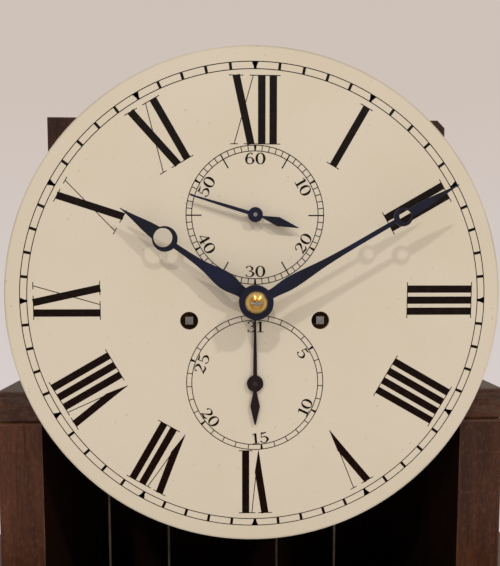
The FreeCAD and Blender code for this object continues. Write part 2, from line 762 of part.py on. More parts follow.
def barrel_node(label, at):
    """A barrel on its arbor, with the ratchet at its back end."""
    x, z = at
    drum = turn_radius - line_radius - gap
    flange = turn_radius + 3.5
    corners = [(flange - 2, -1.0), (flange, -0.9), (flange - 2, 0.98)]
    shape = disc(x, z, barrel_front, barrel_front + 1.5, flange)
    shape = shape.fuse(disc(x, z, barrel_front + 1.5, barrel_back - 2, drum))
    shape = shape.fuse(slab(tooth_points(x, z, 28, 0.0, corners), barrel_back - 2, barrel_back))
    arbor = stack(x, z, [(yf - 2, yi, 2.5), (yi + gap, barrel_front, 5.0), (barrel_front, great_back + gap, 4.0),
                         (great_back + gap, yb - gap, 3.2), (yb - gap, yo, 2.0)])
    half = 2.4
    square = block(x - half, x + half, dial_tip, yf - 1, z - half, z + half)
    shape = shape.cut(disc(x, z, barrel_front - 1, barrel_back + 1, 4.0))
    return piece(label, [shape.removeSplitter(), arbor.fuse(square).removeSplitter()])


def great_node(label, at, teeth, module, phase):
    """A great wheel turning on the barrel arbor, with its click."""
    x, z = at
    shape = wheel(at, great_front, great_back, teeth, module, phase, 4.0 + fit, 30.0 if teeth > 90 else 28.5)
    ratchet = turn_radius + 3.5 + gap
    screw = (x + 26.8, z + 12.0)
    points = [(x + ratchet + 0.2, z - 1.0), (x + ratchet + 3.2, z - 0.5), (screw[0] + 3, screw[1] + 1),
              (screw[0], screw[1] + 3), (screw[0] - 0.6, screw[1] - 3)]
    click = slab(points, great_front - 2.4, great_front)
    return piece(label, [shape, click])


dial_tip = float(dial_face) + 1.0
barrel_node("going_barrel", going_at)
great_node("going_great_wheel", going_at, 96, great_module, great_phase)

centre_wheel_y = yi + 2.5
centre_wheel = wheel(centre_at, centre_wheel_y, centre_wheel_y + 2.5, 60, centre_module, centre_phase, 3.6, 8.0)
collet_y = float(dial_face) - 20.2
pin_y = collet_y - 5.2
centre_arbor = stack(0, 0, [(pin_y - 3, collet_y + 1.5, 1.3), (collet_y + 1.5, yi, 2.5), (yi + gap, yi + 6, 3.6),
                            (yi + 6, great_front - 4, 2.6), (great_front - 4, yb - gap, 1.8), (yb - gap, yo, 1.5)])
centre_arbor = centre_arbor.fuse(pinion(centre_at, great_front - 4, great_back + 4, 8, great_module, centre_pinion_phase))
hand_pin = Part.makeCylinder(0.6, 6.4, V(-3.2, pin_y - 0.7, 0), V(1, 0, 0))
piece("centre_wheel", [centre_wheel, centre_arbor.removeSplitter().cut(hand_pin), hand_pin])

third_y = yi + 29
third_wheel = wheel(third_at, third_y, third_y + 2, 56, third_module, third_phase, 3.0, 7.0)
third_arbor = stack(third_at[0], third_at[1], [
    (yf, yi + gap, 1.2), (yi + gap, yi + 10, 1.6), (yi + 10, yb - gap, 1.8), (third_y - 4, third_y + 2, 3.0),
    (yb - gap, yo, 1.2)])
third_arbor = third_arbor.fuse(pinion(third_at, yi + 1, yi + 8, 8, centre_module, third_pinion_phase))
piece("third_wheel", [third_wheel, third_arbor.removeSplitter()])

escape_y = yi + 38
tip = float(s.escape_radius)
corners = [(tip - 4.5, -0.55), (tip - 1.2, -0.12), (tip, 0.0), (tip, 0.08), (tip - 4.5, 0.45)]
escape_wheel = slab(tooth_points(0, escape_at[1], 30, math.radians(6), corners), escape_y, escape_y + 2)
window = disc(0, escape_at[1], escape_y - 1, escape_y + 3, tip - 7).cut(disc(0, escape_at[1], escape_y - 1, escape_y + 3, 5))
window = window.cut(block(-1.6, 1.6, escape_y - 2, escape_y + 4, 20, 90))
window = window.cut(block(-30, 30, escape_y - 2, escape_y + 4, escape_at[1] - 1.6, escape_at[1] + 1.6))
escape_wheel = escape_wheel.cut(window).cut(disc(0, escape_at[1], escape_y - 1, escape_y + 3, 2.6))
escape_arbor = stack(0, escape_at[1], [
    (float(dial_face) - 5, yi + gap, 1.2), (yi + gap, yb - gap, 1.8), (escape_y - 3, escape_y + 2, 2.6),
    (yb - gap, yo, 1.2)])
escape_arbor = escape_arbor.fuse(pinion(escape_at, third_y - 3, third_y + 5, 7, third_module, escape_pinion_phase))
piece("escape_wheel", [escape_wheel, escape_arbor.removeSplitter()])

# Pallets, crutch, suspension and pendulum

reach = tip + gap + 0.1
drop = pallet_at[1] - escape_at[1]
anchor = disc(0, axis_up, escape_y, escape_y + 2, 5)
for side in (-1, 1):
    nib = polar(reach, math.radians(90 - side * 45))
    nib = (nib[0], nib[1] + escape_at[1])
    outside = (nib[0] + side * 2.6, nib[1] + 2.2)
    points = [(side * 1.0, axis_up + 4.5), (side * 10, axis_up + 1.5), (side * 18.5, nib[1] + 6), outside, nib,
              (side * 14.2, nib[1] + 4.6), (side * 8.5, axis_up - 3.2), (side * 1.0, axis_up - 4.5)]
    arm = slab(points, escape_y, escape_y + 2)
    anchor = anchor.fuse(arm)
anchor = anchor.cut(disc(0, escape_at[1], escape_y - 1, escape_y + 3, reach))
anchor = anchor.cut(disc(0, axis_up, escape_y - 1, escape_y + 3, 2.2)).removeSplitter()
crutch_y = yo + 3
crutch_low = -6.0
pallet_arbor = stack(0, axis_up, [
    (yf, yi + gap, 1.2), (yi + gap, yo + 5, 1.8), (escape_y - 3, escape_y + 2, 2.2), (yo + 5, yo + 10, 1.2)])
crutch = disc(0, axis_up, yo + 1.2, yo + 4.8, 4.0)
crutch = crutch.fuse(Part.makeCylinder(1.4, axis_up - crutch_low, V(0, crutch_y, crutch_low), V(0, 0, 1)))
crutch = crutch.fuse(block(-5.5, 5.5, crutch_y - 1.4, crutch_y + 1.4, crutch_low - 3, crutch_low))
rod_half = 2.0
prong = rod_half + gap
for side in (-1, 1):
    inside = side * (prong + 1.0)
    crutch = crutch.fuse(block(inside - 1.0, inside + 1.0, crutch_y - 1.4, spring_y + 5, crutch_low - 3, crutch_low))
pallet_arbor = pallet_arbor.fuse(crutch).removeSplitter()
piece("pallets", [anchor, pallet_arbor])

spring_low = axis_up - 24
strip = block(-0.1, 0.1, spring_y - 3.5, spring_y + 3.5, spring_low, axis_up + 3.5 + gap)
head = block(-4, 4, spring_y - 4.2, spring_y + 4.2, axis_up + 3.5 + gap, axis_up + 9)
piece("suspension_spring", [strip.fuse(head).removeSplitter()])

bob_up = axis_up - float(s.pendulum_length)
bob_wide = float(s.bob_radius)
bob_half = float(s.bob_half)
rod_end = bob_up - bob_wide - 22
top_block = block(-3.2, 3.2, spring_y - 4.5, spring_y + 4.5, spring_low - 8, spring_low + 5)
top_block = top_block.cut(block(-0.1, 0.1, spring_y - 3.5, spring_y + 3.5, spring_low, spring_low + 6))
rod = Part.makeCylinder(rod_half, spring_low - 8 - rod_end, V(0, spring_y, rod_end), V(0, 0, 1))
piece("pendulum_rod", [top_block.fuse(rod).removeSplitter()])

edge_half = rod_half + 1.2
crown = bob_half - edge_half
sphere_radius = (bob_wide ** 2 + crown ** 2) / (2 * crown)
rim = bob_wide


def bob_depth(radius):
    """Half thickness of the bob at a distance from its middle."""
    return math.sqrt(sphere_radius ** 2 - radius ** 2) - sphere_radius + bob_half


half_way = rim / 2
front_arc = Part.Arc(V(0, -bob_half, 0), V(half_way, -bob_depth(half_way), 0), V(rim, -bob_depth(rim), 0))
back_arc = Part.Arc(V(rim, bob_depth(rim), 0), V(half_way, bob_depth(half_way), 0), V(0, bob_half, 0))
edge_line = Part.makeLine(V(rim, -bob_depth(rim), 0), V(rim, bob_depth(rim), 0))
axis_line = Part.makeLine(V(0, bob_half, 0), V(0, -bob_half, 0))
outline = Part.Wire([front_arc.toShape(), edge_line, back_arc.toShape(), axis_line])
lens = Part.Face(outline).revolve(V(0, 0, 0), V(0, 1, 0), 360)
lens.translate(V(0, spring_y, bob_up))
lens = lens.cut(Part.makeCylinder(rod_half, 200, V(0, spring_y, bob_up - 100), V(0, 0, 1)))
piece("pendulum_bob", [lens])
nut_top = bob_up - bob_wide - gap
nut = Part.makeCylinder(9, 6, V(0, spring_y, nut_top - 6), V(0, 0, 1))
nut = nut.cut(Part.makeCylinder(rod_half + fit, 20, V(0, spring_y, nut_top - 12), V(0, 0, 1)))
piece("rating_nut", [nut])

# Motion work

motion_module = motion_reach / 36
hour_module = motion_reach / 39
cannon_y = yf - 7.0
hour_y = yf - 16.0
minute_y = float(dial_face) - 19.0
hour_hand_y = float(dial_face) - 8.7
hand_thick = 1.2
hand_bore = 2.5 + fit
cannon = wheel(centre_at, cannon_y, cannon_y + 1.5, 36, motion_module, 0.0, hand_bore, 20)
cannon = cannon.fuse(disc(0, 0, minute_y - hand_thick, cannon_y + 0.1, 4.0)).cut(
    disc(0, 0, minute_y - 5, yf, hand_bore)).removeSplitter()
piece("cannon_wheel", [cannon])
minute_wheel = wheel(minute_at, cannon_y, cannon_y + 1.5, 36, motion_module, minute_phase, 0, 20)
minute_wheel = minute_wheel.fuse(pinion(minute_at, hour_y - 1.5, cannon_y + 0.1, 6, hour_module, 0.0))
minute_wheel = minute_wheel.fuse(disc(minute_at[0], minute_at[1], cannon_y, yi, 0.9))
piece("minute_wheel", [minute_wheel.removeSplitter()])
hour_pipe = 6.8
hour_wheel = wheel(centre_at, hour_y, hour_y + 1.5, 72, hour_module, hour_phase, 5.4 + fit, 10.0)
hour_wheel = hour_wheel.fuse(disc(0, 0, hour_hand_y - hand_thick - 0.6, hour_y + 0.1, hour_pipe))
hour_wheel = hour_wheel.cut(disc(0, 0, hour_hand_y - 6, hour_y + 4, 5.4 + fit)).removeSplitter()
piece("hour_wheel", [hour_wheel])


def hand_blade(widths, y0, thick):
    """A blade lying along +X from (distance, half width) pairs, smooth along both edges."""
    top = [V(u, 0, w) for u, w in widths]
    low = [V(u, 0, -w) for u, w in reversed(widths)]
    edges = []
    for points in (top, low):
        curve = Part.BSplineCurve()
        curve.interpolate(points)
        edges.append(curve.toShape())
    edges.insert(1, Part.makeLine(top[-1], low[0]))
    edges.append(Part.makeLine(low[-1], top[0]))
    shape = Part.Face(Part.Wire(edges)).extrude(V(0, thick, 0))
    shape.translate(V(0, y0, 0))
    return shape


def pointed(shape, at, degrees):
    """Turn a hand drawn along +X to its dial angle and put it on its arbor."""
    shape.rotate(V(0, 0, 0), V(0, 1, 0), degrees - 90)
    shape.translate(V(at[0], 0, at[1]))
    return shape


def moon_hand(y0, stem, leaf, ring_at, ring_out, ring_in, hub, bore):
    """A hand with a pierced ring: hub, stem, ring and leaf tip in one sheet."""
    y1 = y0 + hand_thick
    shape = hand_blade(stem, y0, hand_thick).fuse(hand_blade(leaf, y0, hand_thick))
    shape = shape.fuse(disc(0, 0, y0, y1, hub)).fuse(disc(ring_at, 0, y0, y1, ring_out))
    shape = shape.cut(disc(ring_at + 0.7 * (ring_out - ring_in), 0, y0 - 1, y1 + 1, ring_in))
    return shape.cut(disc(0, 0, y0 - 1, y1 + 1, bore)).removeSplitter()


long = float(s.minute_length)
ring_at = 0.727 * long
stem = [(6, 3.0), (12, 2.8), (20, 3.7), (28, 3.6), (40, 2.5), (52, 1.75), (70, 1.4), (ring_at - 4.6, 1.2)]
leaf = [(ring_at + 4.2, 2.4), (ring_at + 12, 2.5), (ring_at + 24, 1.5), (long, 0.25)]
minute_hand = moon_hand(minute_y - hand_thick, stem, leaf, ring_at, 5.4, 3.6, 10.0, 4.0)
piece("minute_hand", [pointed(minute_hand, centre_at, float(s.minute_angle))])

long = float(s.hour_length)
ring_at = 0.675 * long
stem = [(6, 4.0), (11, 3.5), (16, 4.6), (21, 5.3), (28, 4.6), (36, 3.0), (46, 2.0), (ring_at - 6.6, 1.6)]
leaf = [(ring_at + 6.0, 4.2), (ring_at + 12, 3.5), (ring_at + 20, 2.0), (long, 0.25)]
hour_hand = moon_hand(hour_hand_y - hand_thick, stem, leaf, ring_at, 7.5, 5.6, 10.0, hour_pipe)
piece("hour_hand", [pointed(hour_hand, centre_at, float(s.hour_angle))])

collet_back = minute_y - hand_thick
collet_radius = 6.75
collet_high = 4.0
ball = (collet_radius ** 2 + collet_high ** 2) / (2 * collet_high)
collet = Part.makeSphere(ball, V(0, collet_back - collet_high + ball, 0))
collet = collet.common(disc(0, 0, collet_back - 6, collet_back, collet_radius))
collet = collet.cut(disc(0, 0, collet_back - 9, collet_back + 1, 1.3 + fit))
piece("hand_collet", [collet])


def small_hand(y0, reach, tail, wide, boss, bore, back):
    """A counterpoised hand: a thin pointer, a boss with a pipe and a lozenge tail."""
    shape = hand_blade([(0, 1.1), (0.4 * reach, 0.85), (reach, 0.3)], y0, 1.0)
    points = [(0, 0.9), (-0.42 * tail, 0.9), (-0.62 * tail, wide), (-tail, 0.2),
              (-tail, -0.2), (-0.62 * tail, -wide), (-0.42 * tail, -0.9), (0, -0.9)]
    shape = shape.fuse(slab(points, y0, y0 + 1.0))
    shape = shape.fuse(disc(0, 0, y0 - 0.4, y0 + 1.0, boss)).fuse(disc(0, 0, y0, back, bore + 0.9))
    return shape.cut(disc(0, 0, y0 - 2, back + 1, bore)).removeSplitter()


seconds_y = float(dial_face) - 4.5
seconds_hand = small_hand(seconds_y, 40.7, 27.0, 3.0, 4.5, 1.2, seconds_y + 3.4)
piece("seconds_hand", [pointed(seconds_hand, escape_at, float(s.seconds_angle))])
date_y = float(dial_face) - 2.2
date_hand = small_hand(date_y, 40.5, 26.7, 3.1, 5.2, 1.5, date_y + 1.6)
piece("date_hand", [pointed(date_hand, date_at, 0.0)])

date_wheel_y = yd + 2.0
corners = [(16.0, -1.0), (18.0, -0.85), (16.0, 0.95)]
date_wheel = slab(tooth_points(0, date_at[1], 31, 0.0, corners), date_wheel_y, date_wheel_y + 1.2)
date_wheel = date_wheel.fuse(stack(0, date_at[1], [
    (date_y - 0.4, yd + gap, 1.5), (yd + gap, date_wheel_y + 3.5, 2.4), (date_wheel_y + 3.5, date_wheel_y + 6, 1.2)]))
piece("date_wheel", [date_wheel.removeSplitter()])
cock_y = date_wheel_y + 3.8
date_cock = block(-26, 26, cock_y, cock_y + 2, date_at[1] - 4, date_at[1] + 4)
for side in (-1, 1):
    date_cock = date_cock.fuse(block(side * 24 - 2, side * 24 + 2, yd, cock_y, date_at[1] - 4, date_at[1] + 4))
date_cock = date_cock.cut(disc(0, date_at[1], cock_y - 1, cock_y + 3, 1.2 + fit)).removeSplitter()
piece("date_cock", [date_cock])

# Striking train

barrel_node("strike_barrel", strike_at)
great_node("strike_great_wheel", strike_at, 84, strike_module, strike_phase)
pin_y0 = great_back + 4
pin_wheel = wheel(pin_at, pin_y0, pin_y0 + 2.5, 64, pin_module, pin_phase, 3.4, 8.0)
for index in range(8):
    x, z = along(pin_at, 21.6, 45 * index + 22.5)
    pin_wheel = pin_wheel.fuse(disc(x, z, pin_y0 + 1, yb - 1.2, 0.9))
pin_arbor = stack(pin_at[0], pin_at[1], [
    (yf, yi + gap, 1.2), (yi + gap, great_front - 3, 2.0), (great_back + 2, yb - gap, 2.0),
    (pin_y0 - 2, pin_y0 + 2.5, 3.4), (yb - gap, yo, 1.2)])
pin_arbor = pin_arbor.fuse(pinion(pin_at, great_front - 3, great_back + 3, 8, strike_module, pin_pinion_phase))
piece("pin_wheel", [pin_wheel, pin_arbor.removeSplitter()])

gather_y = yi + 17
gather_wheel = wheel(gather_at, gather_y, gather_y + 2, 56, gather_module, 0.0, 2.8, 6.0)
gather_arbor = stack(gather_at[0], gather_at[1], [
    (yf - 6, yi + gap, 1.2), (yi + gap, pin_y0 - 2, 1.8), (gather_y - 3, gather_y + 2, 2.8),
    (pin_y0 + 4, yb - gap, 1.8), (yb - gap, yo, 1.2)])
gather_arbor = gather_arbor.fuse(pinion(gather_at, pin_y0 - 2, pin_y0 + 4, 8, pin_module, gather_pinion_phase))
x, z = gather_at
pallet_tail = slab([(x - 2.6, z - 2.6), (x + 2.6, z - 2.6), (x + 1.6, z + 9), (x - 1.0, z + 9)], yf - 6, yf - 4)
pallet_tail = pallet_tail.cut(disc(x, z, yf - 7, yf - 3, 1.2))
piece("gathering_wheel", [gather_wheel, gather_arbor.removeSplitter(), pallet_tail])

warn_y = yi + 27
warn_wheel = wheel(warn_at, warn_y, warn_y + 1.6, 48, warn_module, 0.0, 2.2, 5.0)
warn_arbor = stack(warn_at[0], warn_at[1], [
    (yf, yi + gap, 0.9), (yi + gap, yb - gap, 1.3), (warn_y - 3, warn_y + 1.6, 2.2), (yb - gap, yo, 0.9)])
warn_arbor = warn_arbor.fuse(pinion(warn_at, gather_y - 2, gather_y + 5, 7, gather_module, warn_pinion_phase))
piece("warning_wheel", [warn_wheel, warn_arbor.removeSplitter()])

fly_arbor = stack(fly_at[0], fly_at[1], [(yf, yi + gap, 0.9), (yi + gap, yb - gap, 1.3), (yb - gap, yo, 0.9)])
fly_arbor = fly_arbor.fuse(pinion(fly_at, warn_y - 2, warn_y + 4, 7, warn_module, fly_pinion_phase))
x, z = fly_at
blade = block(x - 13, x + 13, warn_y + 8, warn_y + 26, z - 0.4, z + 0.4).fuse(disc(x, z, warn_y + 8, warn_y + 26, 2.2))
blade = blade.cut(disc(x, z, warn_y + 7, warn_y + 27, 1.3)).removeSplitter()
piece("fly", [blade, fly_arbor.removeSplitter()])

x, z = hammer_at
hammer_y = yb - 4.4
hammer = stack(x, z, [(yf, yi + gap, 1.2), (yi + gap, yb - gap, 2.0), (yb - gap, yo, 1.2)])
head_up = bell_low + 5
arm_x = -69.6
points = [(x + 3, z - 3), (x + 3, z + 3), (arm_x + 1.4, z + 26), (arm_x + 1.4, head_up), (arm_x - 1.4, head_up),
          (arm_x - 1.4, z + 24), (x - 3, z + 2), (x - 3, z - 3)]
hammer = hammer.fuse(slab(points, stand_y - 1.2, stand_y + 1.2))
head_back = arm_x - 2.5
head_long = -mouth - 1.0 - head_back
hammer = hammer.fuse(Part.makeCylinder(5, head_long, V(head_back, stand_y, head_up), V(1, 0, 0)))
tail = pin_at[0] - 22.5 - gap
hammer = hammer.fuse(block(x, tail, hammer_y, hammer_y + 3, z - 1.5, z + 1.5))
piece("hammer", [hammer.removeSplitter()])

# Trunk door with its hinges and lock

half_door = s.door_width / 2
lip_half = half_door + s.door_lip
lip_back = trunk_face - s.part_gap
lip_front = lip_back - s.lip_thick
lip_low = door_bottom - s.door_lip
lip_tall = s.door_height + s.door_lip * 2
key_x = -half_door + 15.0
door_lip_board = box("door_lip_board", -lip_half, lip_front, lip_low, lip_half * 2, s.lip_thick, lip_tall)
door_inset = box("door_inset", -half_door + s.door_gap, lip_back, door_bottom + s.door_gap,
                 s.door_width - s.door_gap * 2, frame_back - lip_back, s.door_height - s.door_gap * 2)
door_board = fuse("door_board", [door_lip_board, door_inset])
key_bore = cylinder("key_bore", key_x, lip_front - 1.0, lock_up, 2.5, s.frame_thick + s.lip_thick + 4.0, "Y")
lock_left = -half_door + s.door_gap
lock_front = frame_back - 12.0
bolt_front = lock_front + 3.5
lock_recess = box("lock_recess", lock_left, lock_front, lock_up - 28.0, 42.0, 12.0, 56.0)
node(cut("trunk_door", door_board, [key_bore, lock_recess]), "trunk_door")

plate_box = box("scutcheon_plate", key_x - 8.0, lip_front - 1.0, lock_up - 20.0, 16.0, 1.0, 40.0)
key_round = cylinder("key_round", key_x, lip_front - 2.0, lock_up, 2.5, 4.0, "Y")
key_slot = box("key_slot", key_x - 1.0, lip_front - 2.0, lock_up - 9.0, 2.0, 4.0, 9.0)
node(cut("door_escutcheon", plate_box, [key_round, key_slot]), "door_escutcheon")

lock_case = box("lock_case", lock_left, lock_front, lock_up - 28.0, 42.0, 12.0, 56.0)
bolt_way = box("bolt_way", lock_left - 1.0, bolt_front - s.part_gap, lock_up - 6.0 - s.part_gap,
               s.part_gap + 30.0, s.part_gap * 2 + 5.0, s.part_gap * 2 + 12.0)
node(cut("door_lock", lock_case, [bolt_way]), "door_lock")
node(box("lock_bolt", lock_left, bolt_front, lock_up - 6.0, 28.0, 5.0, 12.0), "lock_bolt")

hinge_x = float(lip_half) + 4.6
hinge_y = float(lip_back) - float(s.lip_thick) / 2
knuckle = 3.0
face = float(trunk_face)
edge_x = float(lip_half)
frame_leaves = []
door_leaves = []
for up in (110.0, float(s.door_height) - 110.0):
    z = float(door_bottom) + up
    leaf = block(hinge_x + 3.2, hinge_x + 18, face - 1.4, face, z - 30, z + 30)
    for low, high in ((-30, -10), (10, 30)):
        leaf = leaf.fuse(block(hinge_x, hinge_x + 4, face - 1.4, face, z + low, z + high))
        leaf = leaf.fuse(Part.makeCylinder(knuckle, high - low, V(hinge_x, hinge_y, z + low)))
    leaf = leaf.fuse(Part.makeCylinder(1.5, 66, V(hinge_x, hinge_y, z - 33)))
    frame_leaves.append(leaf.removeSplitter())
    half = 10 - gap
    leaf = block(edge_x, edge_x + 1.2, float(lip_front), float(lip_back), z - 30, z + 30)
    leaf = leaf.fuse(block(edge_x + 1, hinge_x, hinge_y - 1.2, hinge_y + 1.2, z - half, z + half))
    leaf = leaf.fuse(Part.makeCylinder(knuckle, 2 * half, V(hinge_x, hinge_y, z - half)))
    leaf = leaf.cut(Part.makeCylinder(1.5 + fit, 80, V(hinge_x, hinge_y, z - 40)))
    door_leaves.append(leaf.removeSplitter())
node(feature("hinge_frame_leaves", Part.makeCompound(frame_leaves)), "hinge_frame_leaves")
node(feature("hinge_door_leaves", Part.makeCompound(door_leaves)), "hinge_door_leaves")

# Weights, pulleys and gut lines

pulley_z = -float(s.pulley_drop)
weight_wide = float(s.weight_radius)
weight_tall = float(s.weight_height)


def weight_nodes(name, middle):
    """A pulley and the weight hung under it, about the middle of the two strands."""
    core = turn_radius - line_radius - gap
    sheave = stack(middle, pulley_z, [
        (line_y - 3, line_y - 1.5, turn_radius + 2), (line_y - 1.5, line_y + 1.5, core),
        (line_y + 1.5, line_y + 3, turn_radius + 2)])
    piece(name + "_pulley", [sheave.cut(disc(middle, pulley_z, line_y - 9, line_y + 9, 2 + fit))])
    stirrup = disc(middle, pulley_z, line_y - 6, line_y + 6, 2)
    strap = 3 + gap
    bridge_top = pulley_z - turn_radius - 4
    for y0, y1 in ((line_y - strap - 2, line_y - strap), (line_y + strap, line_y + strap + 2)):
        stirrup = stirrup.fuse(block(middle - 5, middle + 5, y0, y1, bridge_top - 3, pulley_z))
        stirrup = stirrup.fuse(disc(middle, pulley_z, y0, y1, 5))
    stirrup = stirrup.fuse(block(middle - 5, middle + 5, line_y - strap - 2, line_y + strap + 2, bridge_top - 3, bridge_top))
    stirrup = stirrup.cut(Part.makeCylinder(2.5, 10, V(middle, line_y, bridge_top - 6)))
    top = bridge_top - 26
    weight = Part.makeCylinder(weight_wide, weight_tall, V(middle, line_y, top - weight_tall))
    weight = weight.makeFillet(6.0, [edge for edge in weight.Edges if isinstance(edge.Curve, Part.Circle)])
    weight = weight.fuse(Part.makeCylinder(2.5, 28.5, V(middle, line_y, top - 1)))
    weight = weight.fuse(Part.makeCylinder(4.5, 2.0, V(middle, line_y, bridge_top))).removeSplitter()
    piece(name + "_weight", [weight, stirrup.removeSplitter()])


def line_node(label, at, fixed):
    """A gut line: knot on the seatboard, down round the pulley, up and on to the barrel."""
    free = at[0] - turn_radius
    middle = (free + fixed) / 2
    knot = 3.0
    knot_up = -float(s.seat_drop) + math.sqrt(knot ** 2 - 1.5 ** 2) + 0.05
    down = Part.makeLine(V(fixed, line_y, knot_up), V(fixed, line_y, pulley_z))
    low = V(middle, line_y, pulley_z - turn_radius)
    round_one = arc_between(V(fixed, line_y, pulley_z), low, V(fixed, line_y, pulley_z - turn_radius))
    round_two = arc_between(low, V(free, line_y, pulley_z), V(free, line_y, pulley_z - turn_radius))
    up = Part.makeLine(V(free, line_y, pulley_z), V(free, line_y, at[1]))
    pitch = float(s.line_pitch)

    def coil_point(turn):
        angle = 2 * math.pi * turn
        return V(at[0] - turn_radius * math.cos(angle), line_y + pitch * turn, at[1] + turn_radius * math.sin(angle))

    def coil_way(turn):
        angle = 2 * math.pi * turn
        way = V(turn_radius * math.sin(angle), pitch / (2 * math.pi), turn_radius * math.cos(angle))
        return V(0, 0, 1) if turn == 0 else way.normalize()

    edges = [down, round_one, round_two, up]
    for half in range(2 * int(s.line_turns.value)):
        here = half / 2
        then = here + 0.5
        edges += biarc(coil_point(here), coil_way(here), coil_point(then), coil_way(then))
    shape = pipe(edges, line_radius).fuse(Part.makeSphere(knot, V(fixed, line_y, knot_up)))
    points = [coil_point(step / 24) for step in range(24 * int(s.line_turns.value) + 1)]
    least = min(a.distanceToPoint(b) for k, a in enumerate(points) for b in points[k + 12:])
    print(label, "least gap between its turns: %.2f mm" % (least - 2 * line_radius))
    piece(label, [shape])


weight_nodes("going", (going_free + going_fixed) / 2)
weight_nodes("strike", (strike_free + strike_fixed) / 2)
line_node("going_line", going_at, going_fixed)
line_node("strike_line", strike_at, strike_fixed)

# Check every object, then write the nodes

doc.recompute()
bad = [item.Label for item in doc.Objects if "Invalid" in item.State or "Error" in item.State]
for item in nodes:
    if item.Shape.isNull() or not item.Shape.isValid() or not item.Shape.Solids:
        bad.append(item.Label)
if bad:
    raise RuntimeError("these objects failed: " + ", ".join(bad))
os.makedirs("parts", exist_ok=True)
for item in nodes:
    item.Shape.exportStep("parts/" + item.Label + ".step")
print(len(nodes), "nodes written")
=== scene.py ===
import json
import math

import bpy
import numpy as np
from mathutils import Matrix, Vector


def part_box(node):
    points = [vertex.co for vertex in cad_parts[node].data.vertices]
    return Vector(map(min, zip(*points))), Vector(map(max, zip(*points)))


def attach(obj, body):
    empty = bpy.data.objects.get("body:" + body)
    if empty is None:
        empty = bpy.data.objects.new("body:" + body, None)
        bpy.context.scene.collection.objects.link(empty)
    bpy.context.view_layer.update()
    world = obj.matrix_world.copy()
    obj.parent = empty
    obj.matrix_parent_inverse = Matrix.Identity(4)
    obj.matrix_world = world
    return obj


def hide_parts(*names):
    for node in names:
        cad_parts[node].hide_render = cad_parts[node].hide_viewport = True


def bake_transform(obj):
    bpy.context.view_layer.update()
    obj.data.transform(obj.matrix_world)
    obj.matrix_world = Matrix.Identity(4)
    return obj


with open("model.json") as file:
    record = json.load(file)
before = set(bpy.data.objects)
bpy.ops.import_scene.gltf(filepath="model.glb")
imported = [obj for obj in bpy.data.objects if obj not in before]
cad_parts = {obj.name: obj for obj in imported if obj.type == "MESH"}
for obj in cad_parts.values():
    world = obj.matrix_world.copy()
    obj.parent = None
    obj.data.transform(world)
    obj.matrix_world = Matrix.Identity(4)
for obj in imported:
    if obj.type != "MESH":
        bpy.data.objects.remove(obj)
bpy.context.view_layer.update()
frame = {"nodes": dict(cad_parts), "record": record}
NODES = frame["nodes"]
PIVOTS = {j["name"]: j.get("pos_m") for j in frame["record"]["behaviour"]["joints"]}

bl_info = {
    "name": "Longcase Clock",
    "version": (1, 0, 0),
    "blender": (4, 5, 0),
    "location": "3D View > Sidebar > Clock",
    "description": "Finishes a longcase clock without its hood: case, movement, painted dial and drive",
    "category": "Object",
}

DIAL_LOW, DIAL_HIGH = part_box("dial")
DIAL_X = 0.5 * (DIAL_LOW[0] + DIAL_HIGH[0])
DIAL_Z = 0.5 * (DIAL_LOW[2] + DIAL_HIGH[2])
DIAL_FRONT = DIAL_LOW[1]
DIAL_CENTRE = (DIAL_X, DIAL_Z)
SECONDS_CENTRE = (DIAL_X, PIVOTS["seconds_turn"][2])
DATE_CENTRE = (DIAL_X, PIVOTS["date_turn"][2])
FULL_TURN = 2 * math.pi


# ---- settings


def linear(red, green, blue):
    """Screen values to light: below 0.04045 divided by 12.92, above it ((c + 0.055) / 1.055) ** 2.4."""
    c = np.array([red, green, blue]) / 255.0
    return tuple(float(v) for v in np.where(c <= 0.04045, c / 12.92, ((c + 0.055) / 1.055) ** 2.4))


def colour(name, about, red, green, blue):
    """A colour setting whose default is given as the 0 to 255 values seen on a screen."""
    default = linear(red, green, blue)
    return bpy.props.FloatVectorProperty(
        name=name, description=about, subtype="COLOR", size=3, min=0.0, max=1.0, default=default
    )


def amount(name, about, default, **more):
    """A setting that is one number."""
    return bpy.props.FloatProperty(name=name, description=about, default=default, **more)


def length(name, about, millimetres):
    """A length setting whose default is given in millimetres."""
    return amount(name, about, millimetres / 1000.0, subtype="DISTANCE", unit="LENGTH", precision=5)


